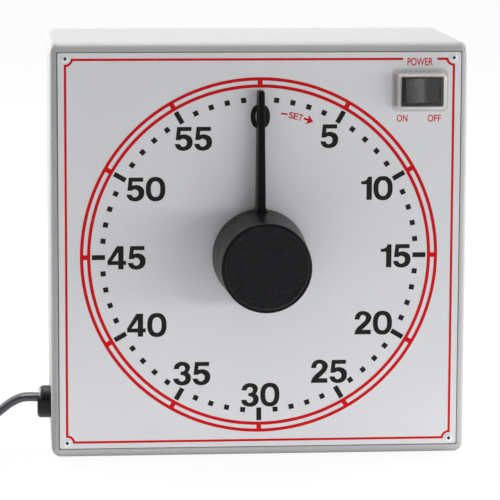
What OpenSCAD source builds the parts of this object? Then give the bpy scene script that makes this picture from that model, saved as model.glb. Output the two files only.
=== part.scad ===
// Electric 60-minute timer: a square case with a printed front panel, a large knob with its pointer,
// a rocker switch under a splash boot, and a flat mains cord wound up beside the case.
// The knob faces -Y, +X is to the right of the dial and +Z is up. Sizes are in millimetres.

/* [Case] */
// Width of the case
case_w = 194; // [186:1:240]
// Height of the case
case_h = 194; // [186:1:240]
// Depth of the case behind its front rim
case_d = 93.3; // [80:0.1:130]
// Radius of the case's four long edges
corner_r = 4.5; // [4.3:0.1:8]
// Radius round the front of the case
front_r = 4.2; // [1:0.1:4.2]
// Thickness of the case's walls
wall = 3; // [2.5:0.1:4]
// Width of the rim on both sides of the panel, up to the panel
rim_w = 3.8; // [3.6:0.1:5]
// Width of the rim over and under the panel, up to the panel
rim_h = 4.6; // [3.6:0.1:5]
// Width of the ledge that carries the panel
ledge_w = 8; // [6:0.1:10]
// Thickness of the ledge that carries the panel
ledge_t = 2.5; // [2:0.1:4]
// Side of the corner posts that take the screws
post_w = 10; // [9:0.1:12]
// Length of the corner posts
post_l = 16; // [12:1:24]
// Distance of the case screws from the case's sides
screw_inset = 7.2; // [7:0.1:8]
// Thickness of the rear cover
cover_t = 2.5; // [2:0.1:4]
// Width of the step that the rear cover sits on
cover_step = 1.5; // [1:0.1:2]
// Height of the rubber feet
foot_h = 1.5; // [1:0.1:4]
// Diameter of the rubber feet
foot_d = 12; // [8:0.5:16]
// Distance of the feet from the sides, the front and the back of the case
foot_inset = 18; // [14:1:30]

/* [Panel] */
// Thickness of the front panel
panel_t = 1.5; // [1:0.1:2]
// How far the panel stands proud of the rim
panel_proud = 0.4; // [0:0.1:0.8]
// Gap round the panel
panel_gap = 0.45; // [0.2:0.05:0.6]
// Depth of the dial's axis below the middle of the case
dial_drop = 2.1; // [0:0.1:6]

/* [Knob] */
// Diameter of the knob where it meets the panel
knob_base_d = 44.6; // [40:0.1:50]
// Diameter of the knob's face
knob_face_d = 41.2; // [36:0.1:46]
// Distance from the panel to the knob's face
knob_reach = 38.4; // [34:0.1:50]
// Gap between the knob and the panel
knob_gap = 1; // [0.6:0.1:2]
// Radius round the edge of the knob's face
knob_edge_r = 1; // [0.5:0.1:1.5]
// Width of the raised lip round the knob's face
knob_lip = 1.6; // [1:0.1:3]
// Depth of the disc inside the lip
knob_dish = 0.5; // [0.2:0.1:1.5]
// Distance of the pointer's tip from the knob's axis
pointer_r = 77.4; // [60:0.1:80]
// Width of the pointer's edge at its tip
tip_w = 2.8; // [2:0.1:4]
// Width of the pointer's edge at the knob
root_w = 3.7; // [3:0.1:6]
// Height of the pointer over the panel at its tip
tip_h = 7.5; // [4:0.1:10]
// Height of the pointer over the panel at the knob
root_h = 10.5; // [8:0.1:16]
// Slope of the pointer's sides
pointer_draft = 3; // [1:0.5:5]
// Most that the knob turns, from 0 to the last minute mark
knob_turn = 354; // [300:1:354]

/* [Shaft] */
// Diameter of the dial shaft
shaft_d = 6.35; // [6:0.01:7]
// Radial clearance of a shaft that turns in a bore
run_fit = 0.05; // [0.02:0.01:0.1]
// Clearance of a screw or pin in its hole
pin_fit = 0.05; // [0.02:0.01:0.1]
// Gap between pieces that move past each other
free_gap = 0.3; // [0.2:0.05:0.4]
// Diameter of the bushing's thread
bushing_d = 9.5; // [9:0.1:10]
// Diameter of the bushing's flange
flange_d = 16; // [13:0.5:20]
// Distance from the panel's back to the movement's front plate
flange_t = 3; // [2.4:0.1:5]
// Width across the flats of the bushing's nut
nut_flats = 13; // [12:0.5:14]
// Thickness of the bushing's nut
nut_t = 2.5; // [2:0.1:3]

/* [Movement] */
// Thickness of the movement's plates
plate_t = 1.5; // [1:0.1:2]
// Distance between the plates
plate_gap = 20; // [20:0.5:26]
// Teeth of the dial wheel
dial_teeth = 72; // [72]
// Teeth of the intermediate wheel
mid_teeth = 60; // [60]
// Teeth of both pinions
pinion_teeth = 12; // [12]
// Module of the dial wheel and its pinion
dial_module = 1; // [0.9:0.1:1]
// Module of the intermediate wheel and the motor's pinion
motor_module = 0.8; // [0.7:0.1:0.8]
// Thickness of the dial wheel
dial_wheel_t = 3; // [2:0.1:4]
// Thickness of the intermediate wheel
mid_wheel_t = 2.5; // [2:0.1:3]
// Diameter of the motor's case
motor_d = 50; // [44:1:52]
// Depth of the motor's case
motor_l = 18; // [14:1:24]
// Diameter of the switch cam
cam_d = 24; // [20:1:28]
// Depth of the cam's notch
cam_notch = 1.6; // [1.4:0.1:2]

/* [Switch] */
// Distance of the switch's centre from the case's right side
switch_inset_x = 22.8; // [21:0.1:27]
// Distance of the switch's centre from the case's top
switch_inset_z = 22.2; // [21:0.1:27]
// Width of the switch's bezel
bezel_w = 21; // [20:0.1:22]
// Height of the switch's bezel
bezel_h = 15; // [14:0.1:16]
// Width of the rocker
rocker_w = 16; // [15:0.1:16.4]
// Height of the rocker
rocker_h = 11.2; // [10:0.1:11.4]
// Tilt of the rocker to either side
rocker_tilt = 9; // [5:0.5:10]
// Height of the splash boot over the panel
boot_h = 10; // [9:0.1:14]
// Wall of the splash boot
boot_wall = 0.7; // [0.5:0.1:1]

/* [Cord] */
// Thickness of the flat cord
cord_t = 4; // [3.6:0.1:4]
// Width of the flat cord
cord_w = 7.6; // [7:0.1:7.6]
// Diameter of the strain relief's head
relief_d = 15.5; // [14:0.1:18]
// Distance that the strain relief's head stands out from the case
relief_out = 6.4; // [5:0.1:7]
// Diameter of the strain relief's neck in the wall
relief_neck_d = 12.6; // [12:0.1:13]
// Width of the plug
plug_w = 24; // [22:0.5:25]
// Thickness of the plug
plug_t = 14; // [12:0.5:14]
// Length of the plug's body
plug_l = 30; // [26:1:40]
// Distance between the plug's blades
blade_pitch = 12.7; // [12.7]
// Length of the plug's blades
blade_l = 17; // [15:0.5:18]

/* [Hidden] */
$fn = 48;

// Fronts and backs of the layers along Y
total_d = knob_reach + panel_proud + case_d;
rim_y = total_d / 2 - case_d;
back_y = total_d / 2;
panel_y = rim_y - panel_proud;
ledge_y = panel_y + panel_t;
cavity_y = ledge_y + ledge_t;
cover_y = back_y - cover_t;
plate1_y = ledge_y + flange_t;
plate1_back = plate1_y + plate_t;
plate2_y = plate1_back + plate_gap;
plate2_back = plate2_y + plate_t;

// Heights and places across the front
case_z = foot_h + case_h / 2;
dial_z = case_z - dial_drop;
cavity_w = case_w - 2 * wall;
cavity_h = case_h - 2 * wall;
panel_w = case_w - 2 * rim_w;
panel_h = case_h - 2 * rim_h;
screw_x = case_w / 2 - screw_inset;
screw_z = case_h / 2 - screw_inset;
switch_x = case_w / 2 - switch_inset_x;
switch_z = case_h / 2 + dial_drop - switch_inset_z;
screw_r = 1.5;
screw_head_r = 1.9;
post_mid = post_w / 2;

// Helpers for outlines and for solids along Y and X
function arc_points(c, r, from, to, steps) =
    [for (i = [0 : steps]) let(a = from + (to - from) * i / steps) [c[0] + r * cos(a), c[1] + r * sin(a)]];

function round_box(w, h, r, steps = 8) = concat(
    arc_points([w / 2 - r, h / 2 - r], r, 0, 90, steps),
    arc_points([r - w / 2, h / 2 - r], r, 90, 180, steps),
    arc_points([r - w / 2, r - h / 2], r, 180, 270, steps),
    arc_points([w / 2 - r, r - h / 2], r, 270, 360, steps));

// A slab with its outline in X and Z, from y0 towards +Y
module slab(y0, t) {
    translate([0, y0 + t, 0])
        rotate([90, 0, 0])
            linear_extrude(height = t)
                children();
}

// A rod along +Y that starts at y0
module rod(x, z, y0, l, r) {
    translate([x, y0, z])
        rotate([-90, 0, 0])
            cylinder(h = l, r = r);
}

// A ring along +Y that starts at y0
module ring(x, z, y0, l, r, bore) {
    difference() {
        rod(x, z, y0, l, r);
        rod(x, z, y0 - 1, l + 2, bore);
    }
}

// A block between two corners
module block(low, high) {
    translate(low)
        cube(high - low);
}

// A screw along Y: its head starts at y0 and its shank follows, towards +Y or with flip towards -Y
module screw(x, z, y0, head_r, head_t, shank_r, shank_l, flip = false) {
    translate([x, y0, z])
        rotate([flip ? 90 : -90, 0, 0])
            difference() {
                union() {
                    cylinder(h = head_t, r = head_r);
                    cylinder(h = head_t + shank_l, r = shank_r);
                }
                translate([-head_r, -0.3, -1])
                    cube([2 * head_r, 0.6, 1 + head_t / 2]);
            }
}

module corners(x, z) {
    for (sx = [-1, 1])
        for (sz = [-1, 1])
            translate([sx * x, 0, case_z + sz * z])
                children();
}

// A tube through rings, each ring a list of points
module tube(rings) {
    n = len(rings[0]);
    last = len(rings) - 1;
    polyhedron(
        points = [for (r = rings) for (p = r) p],
        faces = concat(
            [[for (i = [0 : n - 1]) n - 1 - i]],
            [for (k = [0 : last - 1]) for (i = [0 : n - 1])
                let(j = (i + 1) % n) [k * n + i, k * n + j, (k + 1) * n + j]],
            [for (k = [0 : last - 1]) for (i = [0 : n - 1])
                let(j = (i + 1) % n) [k * n + i, (k + 1) * n + j, (k + 1) * n + i]],
            [[for (i = [0 : n - 1]) last * n + i]]));
}

function unit(v) = v / norm(v);
function tangent(path, i) =
    unit(path[min(i + 1, len(path) - 1)] - path[max(i - 1, 0)]);
function path_length(path) =
    len(path) < 2 ? 0 : [for (i = 0, s = 0; i < len(path); s = s + (i + 1 < len(path)
        ? norm(path[i + 1] - path[i]) : 0), i = i + 1) s][len(path) - 1];

// A round wire along a path of points
module wire(path, r, sides = 6) {
    tube([for (i = [0 : len(path) - 1])
        let(t = tangent(path, i),
            side = unit(cross(t, abs(t[2]) > 0.9 ? [1, 0, 0] : [0, 0, 1])),
            other = cross(side, t))
        [for (k = [0 : sides - 1]) path[i] + r * cos(k * 360 / sides) * side
            + r * sin(k * 360 / sides) * other]]);
}

// Case. One rounding runs round its front, along the sides and round the corners
module outer_case() {
    flat_w = case_w - 2 * corner_r;
    flat_h = case_h - 2 * corner_r;
    translate([flat_w / 2, 0, case_z])
        rotate([0, -90, 0])
            linear_extrude(height = flat_w)
                front_profile(case_h / 2);
    translate([0, 0, case_z - flat_h / 2])
        linear_extrude(height = flat_h)
            front_profile(case_w / 2);
    for (x = [0, 1], z = [0, 1])
        translate([(x - 0.5) * flat_w, 0, case_z + (z - 0.5) * flat_h])
            mirror([1 - x, 0, 0])
                mirror([0, 0, 1 - z])
                    rotate([90, 0, 0])
                        rotate_extrude(angle = 90)
                            corner_profile();
}

// Outline of the case in a plane along Y, with its front edges rounded
module front_profile(half) {
    polygon(concat(
        [[half, back_y], [-half, back_y]],
        arc_points([front_r - half, rim_y + front_r], front_r, 180, 270, 16),
        arc_points([half - front_r, rim_y + front_r], front_r, 270, 360, 16)));
}

// The same outline from a corner's middle outwards, with the case's front upwards
module corner_profile() {
    polygon(concat(
        [[0, -back_y], [corner_r, -back_y]],
        arc_points([corner_r - front_r, -rim_y - front_r], front_r, 0, 90, 16),
        [[0, -rim_y]]));
}

// Place of the strain relief in the left wall, and of the cord in it
relief_x = -case_w / 2;
relief_y = ledge_y + 22.15;
relief_z = foot_h + 22.6;
relief_inner = 10;
cord_z = 26.2;

module housing() {
    color([0.73, 0.73, 0.71])
    difference() {
        union() {
            difference() {
                outer_case();
                slab(cavity_y, case_d)
                    translate([0, case_z])
                        square([cavity_w, cavity_h], center = true);
                slab(rim_y - 1, case_d)
                    translate([0, case_z])
                        square([panel_w - 2 * ledge_w, panel_h - 2 * ledge_w], center = true);
                slab(rim_y - 1, ledge_y - rim_y + 1)
                    translate([0, case_z])
                        square([panel_w + 2 * panel_gap, panel_h + 2 * panel_gap], center = true);
                slab(cover_y, cover_t + 1)
                    translate([0, case_z])
                        square([cavity_w + 2 * cover_step, cavity_h + 2 * cover_step], center = true);
            }
            corners(screw_x, screw_z) {
                block([-post_mid, ledge_y, -post_mid], [post_mid, cavity_y + post_l, post_mid]);
                block([-post_mid, cover_y - post_l, -post_mid], [post_mid, cover_y, post_mid]);
            }
            for (x = block_screws_x)
                translate([x, block_y, foot_h + wall - 0.5])
                    cylinder(h = block_boss_h + 0.5, r = 3.5);
        }
        corners(screw_x, screw_z) {
            rod(0, 0, ledge_y - 1, post_l, screw_r + pin_fit);
            rod(0, 0, cover_y - post_l + 3, post_l, screw_r + pin_fit);
        }
        for (x = block_screws_x)
            translate([x, block_y, foot_h + 2])
                cylinder(h = block_boss_h + 10, r = screw_r + pin_fit);
        translate([-case_w / 2 - 1, relief_y, relief_z])
            rotate([0, 90, 0])
                cylinder(h = wall + 2, r = relief_neck_d / 2 + pin_fit);
    }
}

module front_panel() {
    color([0.80, 0.81, 0.82])
    difference() {
        slab(panel_y, panel_t)
            translate([0, case_z])
                polygon(round_box(panel_w, panel_h, 0.9, 4));
        corners(screw_x, screw_z)
            rod(0, 0, panel_y - 1, panel_t + 2, screw_r + 0.1);
        rod(0, dial_z, panel_y - 1, panel_t + 2, bushing_d / 2 + pin_fit);
        block([switch_x - body_w / 2 - 0.2, panel_y - 1, dial_z + switch_z - body_h / 2 - 0.2],
            [switch_x + body_w / 2 + 0.2, panel_y + panel_t + 1, dial_z + switch_z + body_h / 2 + 0.2]);
    }
}

module panel_screws() {
    color("silver")
    corners(screw_x, screw_z)
        screw(0, 0, panel_y - 0.6, screw_head_r, 0.6, screw_r, panel_t + 10);
}

module rear_cover() {
    color([0.70, 0.70, 0.68])
    difference() {
        slab(cover_y, cover_t)
            translate([0, case_z])
                square([cavity_w + 2 * cover_step - 2 * panel_gap, cavity_h + 2 * cover_step - 2 * panel_gap],
                    center = true);
        corners(screw_x, screw_z) {
            rod(0, 0, cover_y - 1, cover_t + 2, screw_r + 0.2);
            rod(0, 0, back_y - 1.5, 3, 3.2);
        }
        for (sx = [-1, 1])
            rod(sx * wall_hole_pitch / 2, wall_hole_z, cover_y - 1, cover_t + 2, wall_hole_r);
        for (k = [0 : 4])
            translate([0, 0, case_z - 50 - k * 7])
                block([-30, cover_y - 1, -1.5], [30, back_y + 1, 1.5]);
    }
}

wall_hole_pitch = 120;
wall_hole_r = 2.25;
wall_hole_z = case_z + 60;

module rear_cover_screws() {
    color("silver")
    corners(screw_x, screw_z)
        screw(0, 0, back_y - 0.2, 3, 1.2, screw_r, cover_t + 9, flip = true);
}

module rubber_feet() {
    color([0.15, 0.15, 0.15])
    for (x = [foot_inset - case_w / 2, case_w / 2 - foot_inset])
        for (y = [rim_y + foot_inset, back_y - foot_inset])
            translate([x, y, 0])
                cylinder(h = foot_h, r = foot_d / 2);
}

// Knob, drawn about the dial's axis with its base towards the panel
knob_base_y = panel_y - knob_gap;
knob_face_y = panel_y - knob_reach;
recess_r = 9.4;
recess_d = 7;
insert_r = 6;
insert_l = 16;
insert_y = knob_base_y - recess_d - insert_l;
set_screw_y = knob_base_y - recess_d - 5;

module knob_profile() {
    h = knob_reach - knob_gap;
    base = knob_base_d / 2;
    face = knob_face_d / 2;
    polygon(concat(
        [[0, 0], [base, 0]],
        arc_points([face - knob_edge_r, h - knob_edge_r], knob_edge_r, 0, 90, 6),
        [[face - knob_lip, h], [face - knob_lip - 0.3, h - knob_dish], [0, h - knob_dish]]));
}

module pointer() {
    inner = knob_face_d / 2 - 6;
    half_tip = tip_w / 2;
    half_root = root_w / 2;
    tip_grow = (tip_h - knob_gap) * tan(pointer_draft);
    root_grow = (root_h - knob_gap) * tan(pointer_draft);
    front_tip = panel_y - tip_h;
    front_root = panel_y - root_h;
    polyhedron(
        points = [
            [-half_root, front_root, inner], [half_root, front_root, inner],
            [half_root + root_grow, knob_base_y, inner], [-half_root - root_grow, knob_base_y, inner],
            [-half_tip, front_tip, pointer_r], [half_tip, front_tip, pointer_r],
            [half_tip + tip_grow, knob_base_y, pointer_r], [-half_tip - tip_grow, knob_base_y, pointer_r]],
        faces = [[0, 1, 2, 3], [7, 6, 5, 4], [0, 4, 5, 1], [1, 5, 6, 2], [2, 6, 7, 3], [3, 7, 4, 0]]);
}

module knob() {
    color([0.12, 0.12, 0.13])
    translate([0, 0, dial_z])
        difference() {
            union() {
                translate([0, knob_base_y, 0])
                    rotate([90, 0, 0])
                        rotate_extrude($fn = 96)
                            knob_profile();
                pointer();
            }
            rod(0, 0, knob_base_y - recess_d, recess_d + 1, recess_r);
            rod(0, 0, insert_y, insert_l + 1, insert_r + pin_fit);
            translate([0, set_screw_y, -knob_base_d])
                cylinder(h = knob_base_d, r = 1.7);
        }
}

module knob_insert() {
    color([0.75, 0.6, 0.3])
    translate([0, 0, dial_z])
        difference() {
            rod(0, 0, insert_y, insert_l, insert_r);
            rod(0, 0, insert_y - 1, insert_l + 2, shaft_d / 2 + pin_fit);
            translate([0, set_screw_y, -insert_r - 1])
                cylinder(h = insert_r + 1, r = 1.5 + pin_fit);
        }
}

module knob_set_screw() {
    color([0.3, 0.3, 0.3])
    translate([0, set_screw_y, dial_z - shaft_d / 2 - 4])
        difference() {
            cylinder(h = 3.9, r = 1.5);
            translate([0, 0, -1])
                cylinder(h = 2.5, r = 0.75, $fn = 6);
        }
}

// Shaft and what turns with it
shaft_front_y = insert_y + 1;
cam_y = plate2_back + 1.6;
cam_t = 3.4;
ring_y = cam_y + cam_t + 2.6;
shaft_back_y = ring_y + 2;
shoulder_r = 5;
shoulder_y = plate1_back + free_gap;
shoulder_t = 1.9;
wheel_y = shoulder_y + shoulder_t + free_gap;
hub_t = 5;
spring_y = wheel_y + hub_t + free_gap;
spring_t = 1.2;
collar_y = spring_y + spring_t;
collar_t = 4.5;
arm_y = plate2_y - 1.9;
arm_t = 1;
arm_r = 35;
arm_half = 0.7;
post_r = 0.75;
post_ring_r = 33.5;

module dial_shaft() {
    color("silver")
    translate([0, 0, dial_z]) {
        rod(0, 0, shaft_front_y, shaft_back_y - shaft_front_y, shaft_d / 2);
        rod(0, 0, shoulder_y, shoulder_t, shoulder_r);
    }
}

module shaft_bushing() {
    color([0.75, 0.6, 0.3])
    difference() {
        union() {
            rod(0, dial_z, panel_y - 5, plate1_back - panel_y + 5, bushing_d / 2);
            rod(0, dial_z, ledge_y, flange_t, flange_d / 2);
        }
        rod(0, dial_z, panel_y - 6, 40, shaft_d / 2 + run_fit);
    }
}

module bushing_nut() {
    color("silver")
    translate([0, panel_y, dial_z])
        rotate([90, 0, 0])
            difference() {
                cylinder(h = nut_t, r = nut_flats / sqrt(3), $fn = 6);
                translate([0, 0, -1])
                    cylinder(h = nut_t + 2, r = bushing_d / 2 + pin_fit);
            }
}

// Movement plates. Places are given from the dial's axis.
mid_z = -(dial_teeth + pinion_teeth) * dial_module / 2;
motor_x = -(mid_teeth + pinion_teeth) * motor_module / 2;
plate_left = motor_x - 25;
plate_right = 46;
plate_top = 46;
plate_low = mid_z - 24;
pillar_places = [[plate_left + 5, plate_top - 5], [plate_right - 5, plate_top - 5],
    [plate_left + 5, plate_low + 5], [plate_right - 5, plate_low + 5]];
stud_places = [[plate_left + 5, 20], [plate_right - 5, 20],
    [plate_left + 5, mid_z + 4], [plate_right - 5, mid_z + 4]];
pillar_r = 3.5;
pillar_screw_r = 1.25;
stud_r = 1.5;
mid_pin_r = 2;
motor_ear = motor_d / 2 + 3;
motor_ears = [[motor_x - motor_ear * cos(45), mid_z + motor_ear * sin(45)],
    [motor_x + motor_ear * cos(45), mid_z - motor_ear * sin(45)]];

module plate_outline() {
    polygon([[plate_left, plate_low], [plate_right, plate_low], [plate_right, plate_top],
        [plate_left, plate_top]]);
}

module movement_front_plate() {
    color([0.7, 0.7, 0.72])
    translate([0, 0, dial_z])
        difference() {
            slab(plate1_y, plate_t)
                plate_outline();
            rod(0, 0, plate1_y - 1, plate_t + 2, bushing_d / 2 + pin_fit);
            rod(0, mid_z, plate1_y - 1, plate_t + 2, mid_pin_r + pin_fit);
            for (p = pillar_places)
                rod(p[0], p[1], plate1_y - 1, plate_t + 2, pillar_screw_r + pin_fit);
            for (p = stud_places)
                rod(p[0], p[1], plate1_y - 1, plate_t + 2, stud_r + 0.1);
        }
}

module movement_rear_plate() {
    color([0.7, 0.7, 0.72])
    translate([0, 0, dial_z])
        difference() {
            slab(plate2_y, plate_t)
                plate_outline();
            rod(0, 0, plate2_y - 1, plate_t + 2, shaft_d / 2 + run_fit);
            rod(0, mid_z, plate2_y - 1, plate_t + 2, mid_pin_r + pin_fit);
            rod(motor_x, mid_z, plate2_y - 1, plate_t + 2, 5);
            for (p = pillar_places)
                rod(p[0], p[1], plate2_y - 1, plate_t + 2, pillar_screw_r + pin_fit);
            for (p = motor_ears)
                rod(p[0], p[1], plate2_y - 1, plate_t + 2, stud_r + pin_fit);
            for (p = micro_screws)
                rod(p[0], p[1], plate2_y - 1, plate_t + 2, micro_screw_r + pin_fit);
            for (p = buzzer_screw_places)
                rod(p[0], p[1], plate2_y - 1, plate_t + 2, stud_r + pin_fit);
            rod(0, post_ring_r, plate2_y - 1, plate_t + 2, post_r + pin_fit);
        }
}

module movement_pillars() {
    color([0.75, 0.6, 0.3])
    translate([0, 0, dial_z])
        for (p = pillar_places)
            ring(p[0], p[1], plate1_back, plate_gap, pillar_r, pillar_screw_r + pin_fit);
}

module movement_screws() {
    color("silver")
    translate([0, 0, dial_z])
        for (p = pillar_places) {
            screw(p[0], p[1], plate1_y - 1.4, 2.5, 1.4, pillar_screw_r, plate_t + 6);
            screw(p[0], p[1], plate2_back + 1.4, 2.5, 1.4, pillar_screw_r, plate_t + 6, flip = true);
        }
}

module panel_studs() {
    color("silver")
    translate([0, 0, dial_z])
        for (p = stud_places) {
            rod(p[0], p[1], ledge_y, flange_t, 3.5);
            rod(p[0], p[1], ledge_y, flange_t + plate_t + 4, stud_r);
        }
}

module stud_nuts() {
    color("silver")
    translate([0, 0, dial_z])
        for (p = stud_places)
            translate([p[0], plate1_back + 2.4, p[1]])
                rotate([90, 0, 0])
                    difference() {
                        cylinder(h = 2.4, r = 3.2, $fn = 6);
                        translate([0, 0, -1])
                            cylinder(h = 4.4, r = stud_r + pin_fit);
                    }
}

// Gears: an involute flank runs from the base circle to the tip, and a radial line to the root
pressure = 20;
function roll(base_r, r) = let(a = acos(min(1, base_r / r))) tan(a) * 180 / PI - a;
function half_tooth(m, z, r, slack) = let(pitch_r = m * z / 2, base_r = pitch_r * cos(pressure))
    90 / z - slack * 90 / (PI * pitch_r) + roll(base_r, pitch_r) - roll(base_r, max(r, base_r));
function gear_outline(m, z, phase, tip, root, slack = 0.16, steps = 3) =
    let(pitch_r = m * z / 2, root_r = pitch_r - root * m, tip_r = pitch_r + tip * m,
        low_r = max(root_r, pitch_r * cos(pressure)))
    [for (k = [0 : z - 1]) let(mid = phase + k * 360 / z)
        for (q = concat(
            [[root_r, -half_tooth(m, z, low_r, slack)]],
            [for (i = [0 : steps]) let(r = low_r + (tip_r - low_r) * i / steps)
                [r, -half_tooth(m, z, r, slack)]],
            [for (i = [steps : -1 : 0]) let(r = low_r + (tip_r - low_r) * i / steps)
                [r, half_tooth(m, z, r, slack)]],
            [[root_r, half_tooth(m, z, low_r, slack)]]))
            [q[0] * cos(mid + q[1]), q[0] * sin(mid + q[1])]];

// A flank may start at the root, which would give the same point twice
function no_doubles(points) = [for (i = [0 : len(points) - 1])
    if (norm(points[i] - points[(i + 1) % len(points)]) > 0.001) points[i]];

wheel_tip = 0.8;
wheel_root = 1.3;
pinion_tip = 0.9;
pinion_root = 1.1;
half_pinion = 180 / pinion_teeth;

module dial_wheel() {
    color([0.78, 0.64, 0.32])
    translate([0, 0, dial_z])
        difference() {
            union() {
                slab(wheel_y, dial_wheel_t)
                    polygon(no_doubles(gear_outline(dial_module, dial_teeth, 0, wheel_tip, wheel_root)));
                rod(0, 0, wheel_y, hub_t, 8);
            }
            rod(0, 0, wheel_y - 1, hub_t + 2, shaft_d / 2 + run_fit);
            for (k = [0 : 4])
                rod(21 * cos(k * 72 + 18), 21 * sin(k * 72 + 18), wheel_y - 1, dial_wheel_t + 2, 8);
        }
}

module clutch_spring() {
    color("silver")
    translate([0, spring_y, dial_z])
        rotate([-90, 0, 0])
            rotate_extrude()
                polygon([[shaft_d / 2 + pin_fit, 0.7], [7, 0], [7, 0.5], [shaft_d / 2 + pin_fit, spring_t]]);
}

module clutch_collar() {
    color([0.75, 0.6, 0.3])
    translate([0, 0, dial_z])
        ring(0, 0, collar_y, collar_t, 6, shaft_d / 2 + pin_fit);
}

module stop_arm() {
    color([0.6, 0.6, 0.62])
    translate([0, 0, dial_z])
        rotate([0, 3, 0])
            difference() {
                union() {
                    rod(0, 0, arm_y - 2.4, arm_t + 2.4, 6);
                    block([-arm_half, arm_y, 0], [arm_half, arm_y + arm_t, arm_r]);
                }
                rod(0, 0, arm_y - 4, 8, shaft_d / 2 + pin_fit);
            }
}

module stop_post() {
    color("silver")
    translate([0, 0, dial_z])
        rod(0, post_ring_r, arm_y - 0.4, plate2_y - arm_y + 0.4 + plate_t, post_r);
}

module shaft_retaining_ring() {
    color([0.3, 0.3, 0.3])
    translate([0, 0, dial_z])
        ring(0, 0, ring_y, 0.9, 5.2, shaft_d / 2 + pin_fit);
}

// Intermediate wheel and its pinion turn on a fixed pin
pinion_y = wheel_y - 0.5;
pinion_l = dial_wheel_t + 1.2;
mid_wheel_y = pinion_y + pinion_l + 2.6;
motor_pinion_y = mid_wheel_y - 0.6;
motor_pinion_l = mid_wheel_t + 1.2;

module intermediate_wheel() {
    color([0.78, 0.64, 0.32])
    translate([0, 0, dial_z + mid_z])
        difference() {
            union() {
                slab(pinion_y, pinion_l)
                    polygon(no_doubles(gear_outline(dial_module, pinion_teeth, 90 + half_pinion,
                        pinion_tip, pinion_root)));
                slab(mid_wheel_y, mid_wheel_t)
                    polygon(no_doubles(gear_outline(motor_module, mid_teeth, 0, wheel_tip, wheel_root)));
                rod(0, 0, plate1_back + free_gap, plate_gap - 2 * free_gap, 3.6);
            }
            rod(0, 0, plate1_back - 1, plate_gap + 2, mid_pin_r + run_fit);
        }
}

module intermediate_pin() {
    color("silver")
    translate([0, 0, dial_z])
        rod(0, mid_z, plate1_y - 0.5, plate_gap + 2 * plate_t + 1, mid_pin_r);
}

module motor_case() {
    color([0.6, 0.6, 0.62])
    translate([0, 0, dial_z])
        difference() {
            union() {
                rod(motor_x, mid_z, plate2_back, motor_l, motor_d / 2);
                translate([motor_x, 0, mid_z])
                    rotate([0, 45, 0])
                        block([-motor_ear - 3.5, plate2_back, -4.5], [motor_ear + 3.5, plate2_back + 1.2, 4.5]);
            }
            rod(motor_x, mid_z, plate2_back - 1, 5, 1.5 + run_fit);
            for (p = motor_ears)
                rod(p[0], p[1], plate2_back - 1, 4, stud_r + 0.1);
        }
}

module motor_pinion() {
    color([0.75, 0.6, 0.3])
    translate([motor_x, 0, dial_z + mid_z]) {
        slab(motor_pinion_y, motor_pinion_l)
            polygon(no_doubles(gear_outline(motor_module, pinion_teeth, half_pinion, pinion_tip, pinion_root)));
        rod(0, 0, motor_pinion_y, plate2_back + 3.5 - motor_pinion_y, 1.5);
    }
}

module motor_screws() {
    color("silver")
    translate([0, 0, dial_z])
        for (p = motor_ears)
            screw(p[0], p[1], plate2_back + 1.2 + 1.6, 2.8, 1.6, stud_r, 1.2 + plate_t, flip = true);
}

// Cam and microswitch, behind the rear plate
cam_r = cam_d / 2;
notch_half = 12;
micro_w = 20;
micro_h = 10;
micro_t = 6.4;
micro_z = cam_r + 5;
micro_screw_r = 1.15;
micro_screws = [[-4.75, micro_z + 7], [4.75, micro_z + 7]];
lever_pin_x = -8;
lever_pin_z = micro_z - 1.6;
lever_t = 0.5;
lever_w = 3.2;
bump_r = 1;

module switch_cam() {
    color([0.9, 0.88, 0.82])
    translate([0, 0, dial_z])
        difference() {
            union() {
                slab(cam_y, cam_t)
                    polygon(concat(
                        arc_points([0, 0], cam_r, 90 + notch_half, 450 - notch_half, 60),
                        arc_points([0, 0], cam_r - cam_notch, 90 - notch_half + 4, 90 + notch_half - 4, 4)));
                rod(0, 0, cam_y, cam_t + 2.3, 6);
            }
            rod(0, 0, cam_y - 1, cam_t + 5, shaft_d / 2 + pin_fit);
        }
}

module microswitch() {
    color([0.15, 0.15, 0.16])
    translate([0, 0, dial_z])
        difference() {
            union() {
                block([-micro_w / 2, plate2_back, micro_z], [micro_w / 2, plate2_back + micro_t, micro_z + micro_h]);
                block([lever_pin_x - 1.2, plate2_back, micro_z - 2.2], [lever_pin_x + 1.2, plate2_back + 1.2, micro_z]);
                for (x = [-7, 7])
                    block([x - 1.4, plate2_back + 2.8, micro_z + micro_h],
                        [x + 1.4, plate2_back + 3.4, micro_z + micro_h + 5]);
            }
            for (p = micro_screws)
                rod(p[0], p[1], plate2_back - 1, micro_t + 2, micro_screw_r + pin_fit);
            rod(lever_pin_x, lever_pin_z, plate2_back + 0.3, 2, 0.5 + run_fit);
            plunger_block(0.25);
        }
}

module plunger_block(grow) {
    block([-3.8 - grow, plate2_back + 2.2 - grow, micro_z - (grow > 0 ? 1 : 0.75)],
        [-2.2 + grow, plate2_back + 4.6 + grow, micro_z + 3 + grow]);
}

module microswitch_plunger() {
    color([0.8, 0.2, 0.15])
    translate([0, 0, dial_z])
        plunger_block(0);
}

module microswitch_lever() {
    color("silver")
    translate([0, 0, dial_z]) {
        block([lever_pin_x, plate2_back + 1.7, lever_pin_z - lever_t / 2],
            [1.2, plate2_back + 1.7 + lever_w, lever_pin_z + lever_t / 2]);
        rod(lever_pin_x, lever_pin_z, plate2_back + 0.6, 4, 0.5);
        block([-bump_r, plate2_back + 1.7, cam_r + free_gap + bump_r],
            [bump_r, plate2_back + 1.7 + lever_w, lever_pin_z]);
        rod(0, cam_r + free_gap + bump_r, plate2_back + 1.7, lever_w, bump_r);
    }
}

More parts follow.
